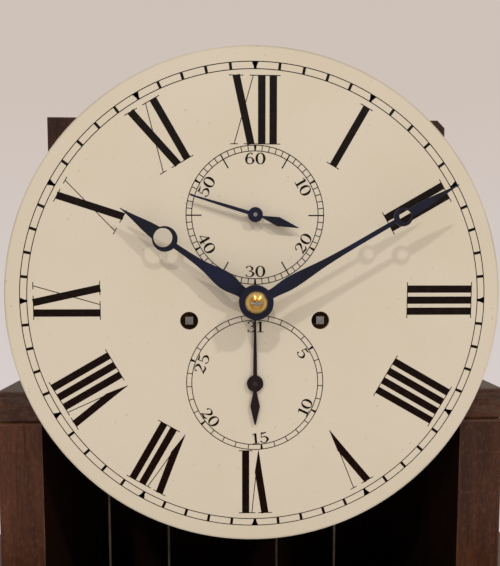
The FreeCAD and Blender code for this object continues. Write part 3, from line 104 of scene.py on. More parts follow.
class ClockFinish(bpy.types.PropertyGroup):
    """Colours of the clock's materials."""

    wood_light: colour("Wood light", "Paler bands of the case wood", 84, 46, 28)
    wood_dark: colour("Wood dark", "Darker bands of the case wood", 46, 25, 17)
    # Also laid along edges, where it is partly a painted highlight.
    wood_worn: colour("Wood worn", "Wood rubbed pale along edges and scratches", 118, 80, 58)
    wood_amber: colour("Wood amber", "Patches where old polish has gone thin", 122, 74, 42)
    dust: colour("Dust", "Old dust on faces that look up, and in nicks", 112, 104, 96)
    brass: colour("Brass", "Cleaned brass", 205, 168, 92)
    brass_dull: colour("Dull brass", "Brass dulled by age", 128, 96, 52)
    gilt: colour("Collet brass", "Bright lacquered brass of the collet", 226, 196, 128)
    # Painted reflection: the collet's hollow is browner, standing in for the darker room it reflects.
    collet: colour("Collet hollow", "Browner brass in the hollow of the collet", 176, 112, 50)
    # Also the dark tone of the movement plates, partly painted shade behind the dial.
    brass_dark: colour("Dark brass", "Brass blackened by age", 62, 48, 32)
    bell: colour("Bell metal", "Turned face of the bell", 196, 170, 118)
    steel: colour("Steel", "Bright steel of arbors and pins", 165, 164, 162)
    steel_dull: colour("Dull steel", "Steel dulled by age", 98, 95, 92)
    blue: colour("Blued steel", "Blue-black steel of the hands", 10, 12, 30)
    blue_edge: colour("Blued edge", "Lighter blue where the bluing is thin", 19, 26, 64)
    plum: colour("Browned steel", "Plum brown steel of the date hand", 22, 3, 8)
    plum_edge: colour("Browned edge", "Lighter brown where the date hand is rubbed", 34, 8, 14)
    cream: colour("Dial cream", "Painted ground of the dial", 217, 205, 186)
    cream_aged: colour("Dial yellowed", "Painted ground where it has yellowed", 213, 200, 177)
    ink: colour("Dial black", "Black of the painted numerals and rings", 26, 22, 20)
    ink_low: colour("Dial black low", "Browner black low down on the dial", 21, 5, 3)
    iron: colour("Iron", "Dark iron of the weights and the date arbor", 58, 55, 53)
    iron_rust: colour("Rust", "Rust patches on the cast iron", 84, 58, 44)
    gut: colour("Gut", "Twisted gut of the lines", 112, 100, 84)
    # Darker colour of the lines, laid in the grooves between strands and in grimy patches.
    gut_dark: colour("Gut dark", "Grime between the strands of the lines", 58, 50, 42)


class ClockSizes(bpy.types.PropertyGroup):
    """Sizes of what is painted on the dial, and of the lines."""

    paint: length("Paint height", "How far the black paint stands off the dial", 0.06)
    hair: length("Hairline", "Width of the thin painted lines", 0.5)
    minute_out: length("Minute ring outside", "Radius of the outer minute circle", 143.2)
    minute_in: length("Minute ring inside", "Radius of the inner minute circle", 138.9)
    minute_bar: length("Minute mark", "Width of one minute mark", 1.7)
    numeral_out: length("Numeral top", "Radius of the outer ends of the numerals", 135.3)
    numeral_in: length("Numeral foot", "Radius of the inner ends of the numerals", 94.5)
    numeral_stem: length("Numeral stem", "Width of the thick strokes", 4.5)
    numeral_pitch: length("Numeral pitch", "Distance between neighbouring stems", 6.9)
    seconds_out: length("Seconds ring outside", "Radius of the outer seconds circle", 42.0)
    seconds_in: length("Seconds ring inside", "Radius of the inner seconds circle", 38.6)
    date_out: length("Date ring outside", "Radius of the outer date circle", 42.5)
    date_in: length("Date ring inside", "Radius of the inner date circle", 39.3)
    figure: length("Figure height", "Height of the small figures", 6.8)
    line: length("Line thickness", "Thickness of the gut lines", 1.8)
    edge: length("Wood edge", "Width of the rounding on wooden edges", 1.2)


class ClockStage(bpy.types.PropertyGroup):
    """The room, the lamps and the camera."""

    room: colour("Room", "Colour of the room behind the clock", 207, 194, 185)
    low: colour("Room low", "Colour of the room low down", 215, 206, 204)
    floor: colour("Floor", "Colour of the floor", 224, 214, 205)
    fill: amount("Fill", "Strength of the light from all sides", 0.62, min=0.0)
    lamp: amount("Lamps", "Power of each of the two large lamps in watts", 164.0, min=0.0)
    lens: amount("Lens", "Focal length in millimetres on a 36 mm frame", 30.98)
    rise: amount("Lens rise", "Upward shift of the lens", 0.030)
    eye: bpy.props.FloatVectorProperty(
        name="Eye", description="Place of the camera", subtype="TRANSLATION", default=(-0.01199, -0.35344, 1.6653)
    )
    pitch: amount("Pitch", "Tilt of the view", -0.0666, subtype="ANGLE")
    turn: amount("Turn", "Turn of the view to the right", 0.0297, subtype="ANGLE")


# ---- material helpers


# The axes along which a distance counts.
EVERY_WAY, ABOUT_Y = (1.0, 1.0, 1.0), (1.0, 0.0, 1.0)


def scaled(values, share):
    """Each of some values times a share."""
    return tuple(share * v for v in values)


class Finish:
    """A new material or world whose nodes are added one by one."""

    def __init__(self, name, kind="materials", shader="Principled BSDF"):
        self.owner = getattr(bpy.data, kind).new(name)
        self.owner.use_nodes = True
        self.tree = self.owner.node_tree
        self.shader = self.tree.nodes[shader]

    def node(self, kind, settings=None, **inputs):
        """Adds a node, sets its options and feeds its inputs, by name or by number as n0, n1 and so on."""
        added = self.tree.nodes.new("ShaderNode" + kind)
        for key, value in (settings or {}).items():
            setattr(added, key, value)
        for key, value in inputs.items():
            numbered = key[0] == "n" and key[1:].isdigit()
            self.feed(added.inputs[int(key[1:]) if numbered else key.replace("_", " ")], value)
        return added

    def feed(self, socket, value):
        """Links a node's output to a socket, or writes a plain value on it, a colour with an alpha of 1."""
        if isinstance(value, bpy.types.NodeSocket):
            self.tree.links.new(value, socket)
        elif socket.type == "RGBA":
            socket.default_value = (*value[:3], 1.0)
        else:
            socket.default_value = value

    def set(self, **inputs):
        """Feeds the shader's own inputs and returns the material or world."""
        for key, value in inputs.items():
            self.feed(self.shader.inputs[key.replace("_", " ")], value)
        return self.owner

    def where(self):
        """Object coordinates."""
        return self.node("TexCoord").outputs["Object"]

    def normal(self):
        """The way a face looks."""
        return self.node("NewGeometry").outputs["Normal"]

    def parts(self, vector):
        """X, Y and Z of a vector."""
        return self.node("SeparateXYZ", Vector=vector).outputs

    def math(self, what, first, second=0.0):
        """One step of arithmetic on two values."""
        return self.node("Math", {"operation": what}, n0=first, n1=second).outputs[0]

    def times(self, first, second):
        """One value times another."""
        return self.math("MULTIPLY", first, second)

    def vectors(self, what, first, second):
        """One step of arithmetic on two vectors, as a vector and a value."""
        return self.node("VectorMath", {"operation": what}, n0=first, n1=second).outputs

    def reach(self, middle, ways=EVERY_WAY):
        """Distance from a point, along the axes that have a 1 in ways."""
        off = self.vectors("SUBTRACT", self.where(), middle)[0]
        return self.vectors("LENGTH", self.vectors("MULTIPLY", off, ways)[0], ways)["Value"]

    def wave(self, value, times):
        """The sine of a value times a number, for fine rings and strands."""
        return self.math("SINE", self.times(value, times))

    def noise(self, scale, detail=4.0, rough=0.55, bend=0.0, turn=(0.0, 0.0, 0.0), where=None):
        """Cloudy noise from 0 to 1 over object coordinates, or another vector, times a scale and turned."""
        scale = scale if isinstance(scale, tuple) else (scale,) * 3
        place = self.node("Mapping", Vector=where or self.where(), Scale=scale, Rotation=turn).outputs[0]
        made = self.node("TexNoise", Vector=place, Scale=1.0, Detail=detail, Roughness=rough, Distortion=bend)
        return made.outputs["Fac"]

    def span(self, value, low, high, to_low=0.0, to_high=1.0):
        """A value between low and high carried to between to_low and to_high, and held there."""
        ends = dict(From_Min=low, From_Max=high, To_Min=to_low, To_Max=to_high)
        return self.node("MapRange", {"clamp": True}, Value=value, **ends).outputs[0]

    def mix(self, share, first, second):
        """Colour between first and second by a share."""
        return self.node("Mix", {"data_type": "RGBA"}, n0=share, n6=first, n7=second).outputs[2]

    def tint(self, body, colour, value, low, high, share=1.0):
        """A colour laid over body: none of it where a value is low, a share of it where the value is high."""
        return self.mix(self.span(value, low, high, 0.0, share), body, colour)

    def bump(self, height, depth, strength, **under):
        """A normal that rises with a height value, depth metres from low to high."""
        return self.node("Bump", Height=height, Distance=depth, Strength=strength, **under).outputs[0]

    def metal(self, body, patch, low, high, *marks):
        """Bare metal of a colour: roughness from low to high by its patches, and tool marks as a bump."""
        rough = self.span(patch, 0.3, 0.75, low, high)
        return self.set(Base_Color=body, Metallic=1.0, Roughness=rough, Normal=self.bump(*marks))

    def framed(self, half):
        """Object coordinates with X and Z changed over on rails, and the joints between rails and stiles.

        A rail lies nearer the middle than half, a stile further out.
        """
        where = self.where()
        x, y, z = self.parts(where)
        across = self.node("CombineXYZ", X=z, Y=y, Z=x).outputs[0]
        off = self.math("SUBTRACT", self.math("ABSOLUTE", x), half)
        rail = self.math("LESS_THAN", off, 0.0)
        made = self.node("Mix", {"data_type": "VECTOR"}, n0=rail, n4=where, n5=across)
        return made.outputs[1], self.span(self.math("ABSOLUTE", off), 0.0001, 0.0005, 0.8, 0.0)

    def facing_in(self):
        """0.85 on side faces that look to the middle of the case, where normal x times place x is below 0."""
        out = self.parts(self.vectors("MULTIPLY", self.normal(), self.where())[0])["X"]
        return self.span(out, -0.08, -0.04, 0.85, 0.0)

    def facing_front_below(self, height):
        """0.85 on faces that look to the front and lie 30 mm or more below a height, 0 elsewhere."""
        ahead = self.span(self.parts(self.normal())["Y"], -0.9, -0.4, 0.85, 0.0)
        below = self.span(self.parts(self.where())["Z"], height - 0.03, height, 1.0, 0.0)
        return self.times(ahead, below)

    def edges(self, radius):
        """0 on open faces, more along edges: 1 less the agreement of the plain normal with the rounded one."""
        rounded = self.node("Bevel", {"samples": 4}, Radius=radius).outputs[0]
        return self.math("SUBTRACT", 1.0, self.vectors("DOT_PRODUCT", rounded, self.normal())["Value"])


# ---- materials


def polished_wood(name, look, grain, dusty, shade=1.0, rail=0.0, weathered=0.0, shaded_below=0.0):
    """Old polished wood: figure and pores along the grain, amber patches, stains, scratches and pale edges.

    The pale edges are partly rubbed wear and partly a painted highlight, and faces that look into the case are
    darkened as painted shade. Dusty is the share of dust on faces that look up, and shade darkens the wood. Rail
    is the distance from the middle where rails meet stiles, weathered the share of grey patches, and below the
    height in the last argument the front carries painted shade.
    """
    made = Finish(name)
    long_way = (3.0, 42.0, 42.0) if grain == "X" else (42.0, 42.0, 3.0)
    pore_way = (14.0, 620.0, 620.0) if grain == "X" else (620.0, 620.0, 14.0)
    dark = scaled(look.wood_dark, shade)
    where, joint = made.framed(rail)
    figure = made.noise(long_way, 6.0, 0.6, 1.4, where=where)
    broad = made.noise(scaled(long_way, 0.25), 2.0, where=where)
    pores = made.noise(pore_way, 2.0, 0.5, where=where)
    tone = made.math("ADD", made.times(figure, 0.65), made.times(broad, 0.35))
    body = made.tint(dark, scaled(look.wood_light, shade), tone, 0.36, 0.64)
    thin = made.noise(tuple(4.0 * v**0.62 for v in long_way), 6.0, 0.75, where=where)
    body = made.tint(body, look.wood_amber, thin, 0.48, 0.7, 0.6 * shade)
    body = made.tint(body, dark, made.noise((22.0, 22.0, 9.0), 5.0, 0.7), 0.5, 0.75, 0.55)
    scratch = made.noise((26.0, 26.0, 620.0), 2.0, 0.5, turn=(0.0, 0.25, 0.0))
    body = made.tint(body, look.wood_worn, scratch, 0.69, 0.76, 0.5 * shade)
    grit = made.noise((480.0, 480.0, 240.0), 3.0, 0.7, where=where)
    body = made.mix(made.span(grit, 0.3, 0.5, 0.35, 0.0), body, dark)
    body = made.tint(body, look.wood_worn, grit, 0.52, 0.74, 0.28 * shade)
    nicks = made.noise((300.0, 300.0, 190.0), 2.0, 0.4)
    body = made.tint(body, look.dust, nicks, 0.745, 0.77, 0.6 * shade)
    body = made.tint(body, scaled(dark, 0.45), pores, 0.62, 0.72, 0.55)
    if rail:
        body = made.mix(joint, body, scaled(dark, 0.4))
    if weathered:
        grey = made.noise((80.0, 120.0, 260.0), 6.0, 0.75, turn=(0.0, 0.3, 0.0))
        body = made.tint(body, look.dust, grey, 0.42, 0.66, weathered)
    rubbed = made.span(made.noise(30.0, 3.0), 0.37, 0.64)
    # Pale edges in rubbed patches: partly real wear, partly a painted highlight.
    edge_wear_and_highlight = made.times(made.span(made.edges(0.0022), 0.02, 0.2), rubbed)
    body = made.mix(edge_wear_and_highlight, body, look.wood_worn)
    cloud = made.span(made.noise(16.0, 5.0, 0.7), 0.3, 0.6, 0.33 * dusty, dusty)
    settled = made.times(made.span(made.parts(made.normal())["Z"], 0.75, 0.98), cloud)
    body = made.mix(settled, body, look.dust)
    # Painted shade: side faces that look into the case are darkened.
    body = made.mix(made.facing_in(), body, scaled(dark, 0.3))
    # Painted shade: the front below this height, inside the trunk, is darkened.
    if shaded_below:
        body = made.mix(made.facing_front_below(shaded_below), body, scaled(dark, 0.3))
    gloss = made.span(figure, 0.3, 0.7, 0.58, 0.46)
    rough = made.math("MAXIMUM", gloss, made.span(settled, 0.0, 1.0, 0.3, 0.9))
    made.set(Base_Color=body, Specular_IOR_Level=0.2, Roughness=rough)
    return made.set(Normal=made.bump(pores, 0.00012, 0.5, Normal=made.bump(figure, 0.0003, 0.35)))


def aged_metal(name, bright, dull, low, high):
    """Metal with dull patches, dark specks, a roughness from low to high and fine brush marks."""
    made = Finish(name)
    patch = made.noise(55.0, 5.0, 0.65)
    body = made.tint(bright, dull, patch, 0.42, 0.72, 0.75)
    body = made.tint(body, scaled(dull, 0.5), made.noise(700.0, 2.0), 0.66, 0.76, 0.5)
    return made.metal(body, patch, low, high, made.noise((900.0, 60.0, 900.0), 2.0), 0.00004, 0.4)


def turned_metal(name, bright, dull, low, high, middle):
    """Metal turned on a lathe: rings at equal distances from a point, over dull patches."""
    made = Finish(name)
    rings = made.wave(made.reach(middle), 9000.0)
    patch = made.noise(45.0, 5.0, 0.65)
    body = made.tint(bright, dull, patch, 0.4, 0.75, 0.6)
    body = made.tint(body, dull, rings, -1.0, 1.0, 0.16)
    return made.metal(body, patch, low, high, rings, 0.00002, 0.4)


def wheel_on_arbor(name, look, pivot, steel_reach):
    """Brass wheel on a steel arbor: steel within a radius of the arbor's line, brass outside it."""
    made = Finish(name)
    reach = made.reach(pivot, ABOUT_Y)
    rings = made.wave(reach, 14000.0)
    patch = made.noise(60.0, 5.0, 0.65)
    yellow = made.tint(look.brass, look.brass_dull, patch, 0.4, 0.72, 0.7)
    grey = made.tint(look.steel, look.steel_dull, patch, 0.4, 0.72)
    body = made.tint(grey, yellow, reach, steel_reach, steel_reach + 0.0001)
    body = made.tint(body, look.steel_dull, rings, 0.2, 1.0, 0.12)
    return made.metal(body, patch, 0.24, 0.42, rings, 0.00002, 0.35)


def collet_brass(name, look):
    """Turned brass collet: pale outer band, browner hollow as painted reflection, fine rings about the dial's
    middle.
    """
    made = Finish(name)
    reach = made.reach((DIAL_X, 0.0, DIAL_Z), ABOUT_Y)
    rings = made.wave(reach, 11000.0)
    patch = made.noise(380.0, 3.0)
    # Painted reflection: the hollow inside the pale band is browner brass.
    hollow = made.tint(look.collet, look.brass, patch, 0.35, 0.65)
    body = made.tint(hollow, look.gilt, reach, 0.0036, 0.0048)
    body = made.tint(body, look.brass_dull, rings, -1.0, 1.0, 0.2)
    return made.metal(body, patch, 0.2, 0.32, rings, 0.00003, 0.4)


def blued_steel(name, deep, thin):
    """Steel coloured by heat: a deep tone, a lighter one where it thins, and soft polish marks."""
    made = Finish(name)
    rub = made.noise(260.0, 3.0)
    body = made.tint(deep, thin, made.noise(40.0, 4.0), 0.4, 0.75, 0.6)
    body = made.tint(body, thin, made.edges(0.0004), 0.03, 0.3, 0.5)
    rough = made.span(rub, 0.3, 0.75, 0.36, 0.52)
    made.set(Base_Color=body, Metallic=0.2, Specular_IOR_Level=0.3, Roughness=rough)
    return made.set(Normal=made.bump(rub, 0.00003, 0.35))


def dial_paint(name, look):
    """Cream paint on an iron dial: yellowed in clouds and outside the rings, grimy at its edge, with specks."""
    made = Finish(name)
    reach = made.reach((DIAL_X, DIAL_FRONT, DIAL_Z))
    cloud = made.noise(14.0, 4.0, 0.6)
    specks = made.noise(420.0, 2.0, 0.5)
    age = made.math("ADD", made.span(reach, 0.1425, 0.1445, 0.0, 0.2), made.span(cloud, 0.42, 0.66, 0.0, 0.6))
    body = made.mix(age, look.cream, look.cream_aged)
    body = made.tint(body, look.brass_dull, specks, 0.71, 0.78, 0.3)
    grime = made.times(made.span(reach, 0.1512, 0.1526), made.span(cloud, 0.3, 0.6, 0.1, 0.5))
    body = made.mix(grime, body, look.dust)
    made.set(Base_Color=body, Roughness=made.span(cloud, 0.3, 0.7, 0.34, 0.46), Specular_IOR_Level=0.35)
    return made.set(Normal=made.bump(cloud, 0.0006, 0.25, Normal=made.bump(specks, 0.00002, 0.25)))


def dial_ink(name, look):
    """Black dial paint, browner low down on the dial, and thinner in small patches."""
    made = Finish(name)
    thin = made.noise(240.0, 4.0, 0.6)
    black = made.tint(look.ink_low, look.ink, made.parts(made.where())["Z"], DIAL_Z - 0.1, DIAL_Z + 0.12)
    body = made.tint(black, look.brass_dark, thin, 0.5, 0.8, 0.3)
    rough = made.span(thin, 0.3, 0.7, 0.5, 0.64)
    return made.set(Base_Color=body, Roughness=rough, Specular_IOR_Level=0.05)


def cast_iron(name, look):
    """Rough cast iron with patches of rust and darker grit."""
    made = Finish(name)
    grit = made.noise(320.0, 6.0, 0.7)
    body = made.tint(look.iron, look.iron_rust, made.noise(38.0, 4.0), 0.5, 0.75)
    body = made.tint(body, scaled(look.iron, 0.4), grit, 0.6, 0.8, 0.5)
    made.set(Base_Color=body, Metallic=0.45, Roughness=made.span(grit, 0.3, 0.7, 0.55, 0.78))
    return made.set(Normal=made.bump(grit, 0.0004, 0.6))


def twisted_gut(name, look):
    """Gut line: three slanting strands round the line, from the piece's own UV map, darker between them and in
    patches.
    """
    made = Finish(name)
    across, along, _ = made.parts(made.node("UVMap").outputs[0])
    around = made.math("ADD", across, made.times(along, 3.0))
    strand = made.wave(made.times(around, FULL_TURN), 3.0)
    grime = made.noise(130.0, 3.0)
    # The grooves between the strands are darker.
    body = made.mix(made.span(strand, -1.0, 0.3, 0.75, 0.0), look.gut, look.gut_dark)
    body = made.tint(body, look.gut_dark, grime, 0.4, 0.7, 0.6)
    made.set(Base_Color=body, Roughness=made.span(grime, 0.3, 0.7, 0.5, 0.66))
    return made.set(Normal=made.bump(strand, 0.00012, 0.6))


def metal_pairs(look):
    """The bright and the dull colour of brass, and of steel."""
    return (look.brass, look.brass_dull), (look.steel, look.steel_dull)


# ---- pieces and nodes


def dress(material, *names):
    """Gives CAD nodes one material."""
    for name in names:
        data = NODES[name].data
        data.materials.clear()
        data.materials.append(material)


def ease_edges(width, *names):
    """Rounds the sharp edges of CAD nodes a little, after their loose triangles are joined."""
    for name in names:
        weld = NODES[name].modifiers.new("join", "WELD")
        weld.merge_threshold = 0.00001
        bevel = NODES[name].modifiers.new("edge", "BEVEL")
        bevel.width = width
        bevel.segments = 2
        bevel.limit_method = "ANGLE"
        bevel.angle_limit = math.radians(50)


def placed(name, data):
    """A new object in the scene that holds a mesh, a light or a camera."""
    made = bpy.data.objects.new(name, data)
    bpy.context.scene.collection.objects.link(made)
    return made


def new_object(name, points, faces, material):
    """A new mesh object in the scene, with one material."""
    mesh = bpy.data.meshes.new(name)
    mesh.from_pydata(points.tolist(), [], faces)
    mesh.materials.append(material)
    mesh.update()
    return placed(name, mesh)


def corners(mesh):
    """The points of a mesh as rows of x, y and z."""
    points = np.zeros(3 * len(mesh.vertices))
    mesh.vertices.foreach_get("co", points)
    return points.reshape(-1, 3)


def unit(rows):
    """Vectors brought to length 1."""
    return rows / np.linalg.norm(rows, axis=1)[:, None]


def ring_faces(rings, sides, closed=False):
    """Faces between neighbouring rings: corner k here and on the next ring, then k + 1 there and here."""
    here = np.arange(rings if closed else rings - 1)[:, None] * sides
    then = (here + sides) % (rings * sides)
    k = np.arange(sides)[None]
    m = (k + 1) % sides
    return np.stack([here + k, then + k, then + m, here + m], -1).reshape(-1, 4)


# ---- painted marks


SPAN_STEPS = 7


def stroke(path, widths, closed=False, level=1.0):
    """A flat painted stroke: a thin rectangle carried along a path in the dial's plane.

    Point (x, z) of the path gives left and right corners at half the width along the path's normal, once on the
    dial and once at a share (level) of the paint's height: row k is left low and high, then right high and low.
    """
    path = np.asarray(path, float)
    half = 0.5 * np.broadcast_to(np.asarray(widths, float), len(path))
    way = unit(np.roll(path, -1, 0) - np.roll(path, 1, 0) if closed else np.gradient(path, axis=0))
    side = np.stack([-way[:, 1], way[:, 0]], 1) * half[:, None]
    rows = np.zeros((len(path), 4, 3))
    rows[:, :2, 0::2] = (path + side)[:, None]
    rows[:, 2:, 0::2] = (path - side)[:, None]
    rows[:, 1:3, 1] = -level
    quads = ring_faces(len(path), 4, closed)
    if not closed:
        quads = np.concatenate([quads, [[0, 1, 2, 3], 4 * len(path) - 1 - np.arange(4)]])
    return rows.reshape(-1, 3), quads[:, ::-1]


def smooth_path(table):
    """A smooth run through a small table of (across, up, width): a Catmull-Rom cubic between neighbours.

    With p0..p3 the four points about a span and t from 0 to 1, the point is
    p1 + t/2 (p2 - p0) + t^2 (p0 - 5/2 p1 + 2 p2 - 1/2 p3) + t^3/2 (3 p1 - p0 - 3 p2 + p3).
    """
    knots = np.concatenate([2 * table[:1] - table[1:2], table, 2 * table[-1:] - table[-2:-1]])
    p0, p1, p2, p3 = knots[:-3, None], knots[1:-2, None], knots[2:-1, None], knots[3:, None]
    t = np.arange(SPAN_STEPS)[None, :, None] / SPAN_STEPS
    run = p1 + t / 2 * (p2 - p0) + t**2 * (p0 - 2.5 * p1 + 2 * p2 - 0.5 * p3)
    run = run + t**3 / 2 * (3 * p1 - p0 - 3 * p2 + p3)
    run = np.concatenate([run.reshape(-1, 3), knots[-2:-1]])
    return run[:, :2], np.maximum(run[:, 2], 0.02)


OVAL = np.linspace(0.0, FULL_TURN, 28, endpoint=False)
# Strokes of the small figures as points (across, up, width), in hundredths of the figure's height.
FIGURE_STROKES = {
    "1": [[(32, 0, 15), (32, 97, 15)], [(10, 2, 4.5), (54, 2, 4.5)], [(33, 97, 5), (13, 84, 5)]],
    "2": [
        [(10, 72, 12), (13, 87, 6), (30, 98, 5), (50, 80, 15), (45, 57, 12), (23, 26, 5), (6, 3, 4.5)],
        [(6, 6, 5), (22, 9, 11), (43, 4, 11), (57, 20, 4)],
    ],
    "3": [
        [(9, 80, 12), (15, 93, 6), (30, 98, 5), (48, 78, 13), (36, 56, 5), (24, 53, 4.5)],
        [(26, 53, 4.5), (42, 48, 6), (54, 26, 15), (34, 2, 5), (14, 6, 5), (7, 20, 12)],
    ],
    "4": [
        [(42, 0, 15), (42, 98, 15)],
        [(42, 97, 5), (4, 30, 5)],
        [(3, 29, 5), (60, 29, 5)],
        [(27, 2, 4.5), (57, 2, 4.5)],
    ],
    "5": [
        [(15, 95, 5), (14, 50, 5)],
        [(14, 92, 12), (33, 92, 9), (50, 100, 3)],
        [(14, 50, 5), (28, 59, 5), (45, 52, 10), (54, 30, 15), (38, 3, 6), (17, 5, 5), (8, 20, 12)],
    ],
    "6": [
        [(48, 87, 11), (37, 98, 5), (19, 84, 9), (9, 46, 15), (14, 13, 9), (31, 2, 5)]
        + [(49, 14, 9), (53, 31, 15), (46, 51, 8), (32, 60, 5), (18, 51, 5), (12, 40, 5)],
    ],
}
FIGURE_WIDER, FIGURE_BOLDER, FIGURE_MIDDLE = 1.42, 1.4, 0.31
FIGURE_ROOM, NARROW_ROOM = 0.67, 0.44
PAINT_SUNK = 0.00005


def figure_strokes(figure):
    """The strokes of one figure on a unit height: a nought is an oval thick at its sides, others smooth runs."""
    if figure == "0":
        path = np.stack([FIGURE_MIDDLE + 0.24 * np.sin(OVAL), 0.5 + 0.48 * np.cos(OVAL)], 1)
        return [(path, 0.045 + 0.115 * np.abs(np.sin(OVAL)) ** 1.6, True)]
    return [(*smooth_path(0.01 * np.array(table)), False) for table in FIGURE_STROKES[figure]]


def turned(path, angle, centre, outward=0.0):
    """Points (across, up) set at an angle clockwise from the top: centre + across right + (up + outward) out."""
    path = np.asarray(path, float)
    out = np.array([math.sin(angle), math.cos(angle)])
    right = np.array([math.cos(angle), -math.sin(angle)])
    return np.asarray(centre) + path[:, :1] * right + (path[:, 1:] + outward) * out


def number(text, height, angle, centre, reach):
    """A number set on a ring: tops outward in the upper half of the ring, inward in the lower half."""
    room = FIGURE_WIDER * np.array([NARROW_ROOM if figure == "1" else FIGURE_ROOM for figure in text])
    start = np.cumsum(room) - room - 0.5 * room.sum()
    upright = -1.0 if math.cos(angle) < -0.25 else 1.0
    made = []
    for left, own, figure in zip(start, room, text):
        for path, widths, closed in figure_strokes(figure):
            across = FIGURE_WIDER * (path[:, 0] - FIGURE_MIDDLE) + left + 0.5 * own
            local = upright * height * np.stack([across, path[:, 1] - 0.5], 1)
            made.append(stroke(turned(local, angle, centre, reach), FIGURE_BOLDER * widths * height, closed))
    return made


def circle(centre, radius, width):
    """A painted circle: centre + radius (sin t, cos t), its number of points growing with the radius."""
    t = np.linspace(0.0, FULL_TURN, max(72, int(radius * 1400)), endpoint=False)
    return stroke(centre + radius * np.stack([np.sin(t), np.cos(t)], 1), width, True)


def spoke(centre, angle, low, high, low_width, high_width):
    """A straight mark along a radius, from low to high, its width going from one to the other."""
    return stroke(turned([(0.0, low), (0.0, high)], angle, centre), [low_width, high_width])


def scale_ring(centre, inner, outer, hair, angles, bar):
    """Two circles with a mark between them at each angle."""
    made = [circle(centre, outer, hair), circle(centre, inner, hair)]
    return made + [spoke(centre, angle, inner, outer, bar, bar) for angle in angles]


# Room of a letter in stem pitches, and how far some hand-painted numerals stand off their hour, in metres.
STEMS, LONE_V = {"I": 1.0, "V": 1.7, "X": 2.15}, 1.95
NUMERAL_SHIFT = {"V": -0.0009, "VII": 0.0014, "VIII": 0.003}
HOURS = ["I", "II", "III", "IIII", "V", "VI", "VII", "VIII", "IX", "X", "XI", "XII"]


def hour_numeral(text, angle, sizes):
    """An hour numeral on the dial: upright stems, V and X of one thick and one thin stroke, hairline serifs.

    A serif runs along the ends of neighbouring strokes, and breaks between the two strokes of a V or X.
    """
    foot, top = sizes.numeral_in, sizes.numeral_out
    stem, hair, pitch = sizes.numeral_stem, sizes.hair, sizes.numeral_pitch
    rooms = [pitch * (LONE_V if text == "V" else STEMS[letter]) for letter in text]
    starts = np.cumsum(rooms) - rooms - 0.5 * sum(rooms) + NUMERAL_SHIFT.get(text, 0.0)
    made, heads, feet = [], [[]], [[]]

    def line(x0, r0, x1, r1, width):
        level = 1.0 if width > hair else 0.8
        made.append(stroke(turned([(x0, r0), (x1, r1)], angle, DIAL_CENTRE), width, level=level))

    def end(middle, half):
        return [middle - half, middle + half]

    thick_end, thin_end = 0.96 * stem, 0.5 * stem
    for letter, start, room in zip(text, starts, rooms):
        middle = start + 0.5 * room
        reach = 0.5 * room - 0.35 * stem
        if letter == "I":
            line(middle, foot, middle, top, stem)
            heads[-1] += end(middle, thick_end)
            feet[-1] += end(middle, thick_end)
            continue
        thick_head, thin_head = middle - reach + 0.3 * stem, middle + reach
        if letter == "V":
            thin_head += 0.25 * stem
            point, rise = 0.5 * (thick_head + thin_head), 0.34
            bend = foot + rise * (top - foot)
            knee = point + rise * (thick_head - point) + 0.5 * (1.0 - rise) * stem
            slant = [(thick_head, top), (knee, bend), (point, foot)]
            made.append(stroke(turned(slant, angle, DIAL_CENTRE), [stem, stem, 0.5 * hair]))
            line(thin_head, top, knee + 0.3 * stem, bend, hair)
        else:
            thick_foot, thin_foot = middle + reach - 0.33 * stem, middle - reach
            line(thick_head, top, thick_foot, foot, stem)
            line(thin_head, top, thin_foot, foot, hair)
            feet[-1] += end(thin_foot, thin_end)
            feet.append(end(thick_foot, thick_end))
        heads[-1] += end(thick_head, thick_end)
        heads.append(end(thin_head, thin_end))
    for runs, level in ((heads, top - 0.5 * hair), (feet, foot + 0.5 * hair)):
        for run in filter(None, runs):
            line(min(run), level, max(run), level, hair)
    return made


def lay_marks(name, marks, material, paint):
    """Joins strokes to one mesh that lies on the dial's face and rides with the case."""
    counts = np.cumsum([0] + [len(points) for points, _ in marks])
    points = np.concatenate([points for points, _ in marks])
    quads = np.concatenate([faces + first for first, (_, faces) in zip(counts, marks)])
    points[:, 1] = DIAL_FRONT + np.where(points[:, 1] < -0.5, paint * points[:, 1], PAINT_SUNK)
    marked = new_object(name, points, quads.tolist(), material)
    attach(marked, "case")


# ---- small hands

# Along the hand and half its width, in millimetres, from the tip of the tail to the tip of the pointer.
SECONDS_FLANK = [(-27.3, 0.15), (-14.5, 2.8), (-4.0, 0.5), (4.0, 1.1), (18.0, 0.95), (40.7, 0.42)]
DATE_FLANK = [(-26.0, 0.35), (-14.4, 3.0), (-4.6, 0.9), (4.6, 1.2), (18.0, 1.05), (40.5, 0.55)]
# Radius of the boss and of its bore.
SECONDS_BOSS, DATE_BOSS = (0.0045, 0.0012), (0.0051, 0.0015)
SHEET_FRONT, SHEET_BACK, TIP_BAND = 0.0004, 0.0014, 0.0002
PIPE_WALL, BOSS_CHAMFER, BOSS_SIDES = 0.0009, 0.0003, 72


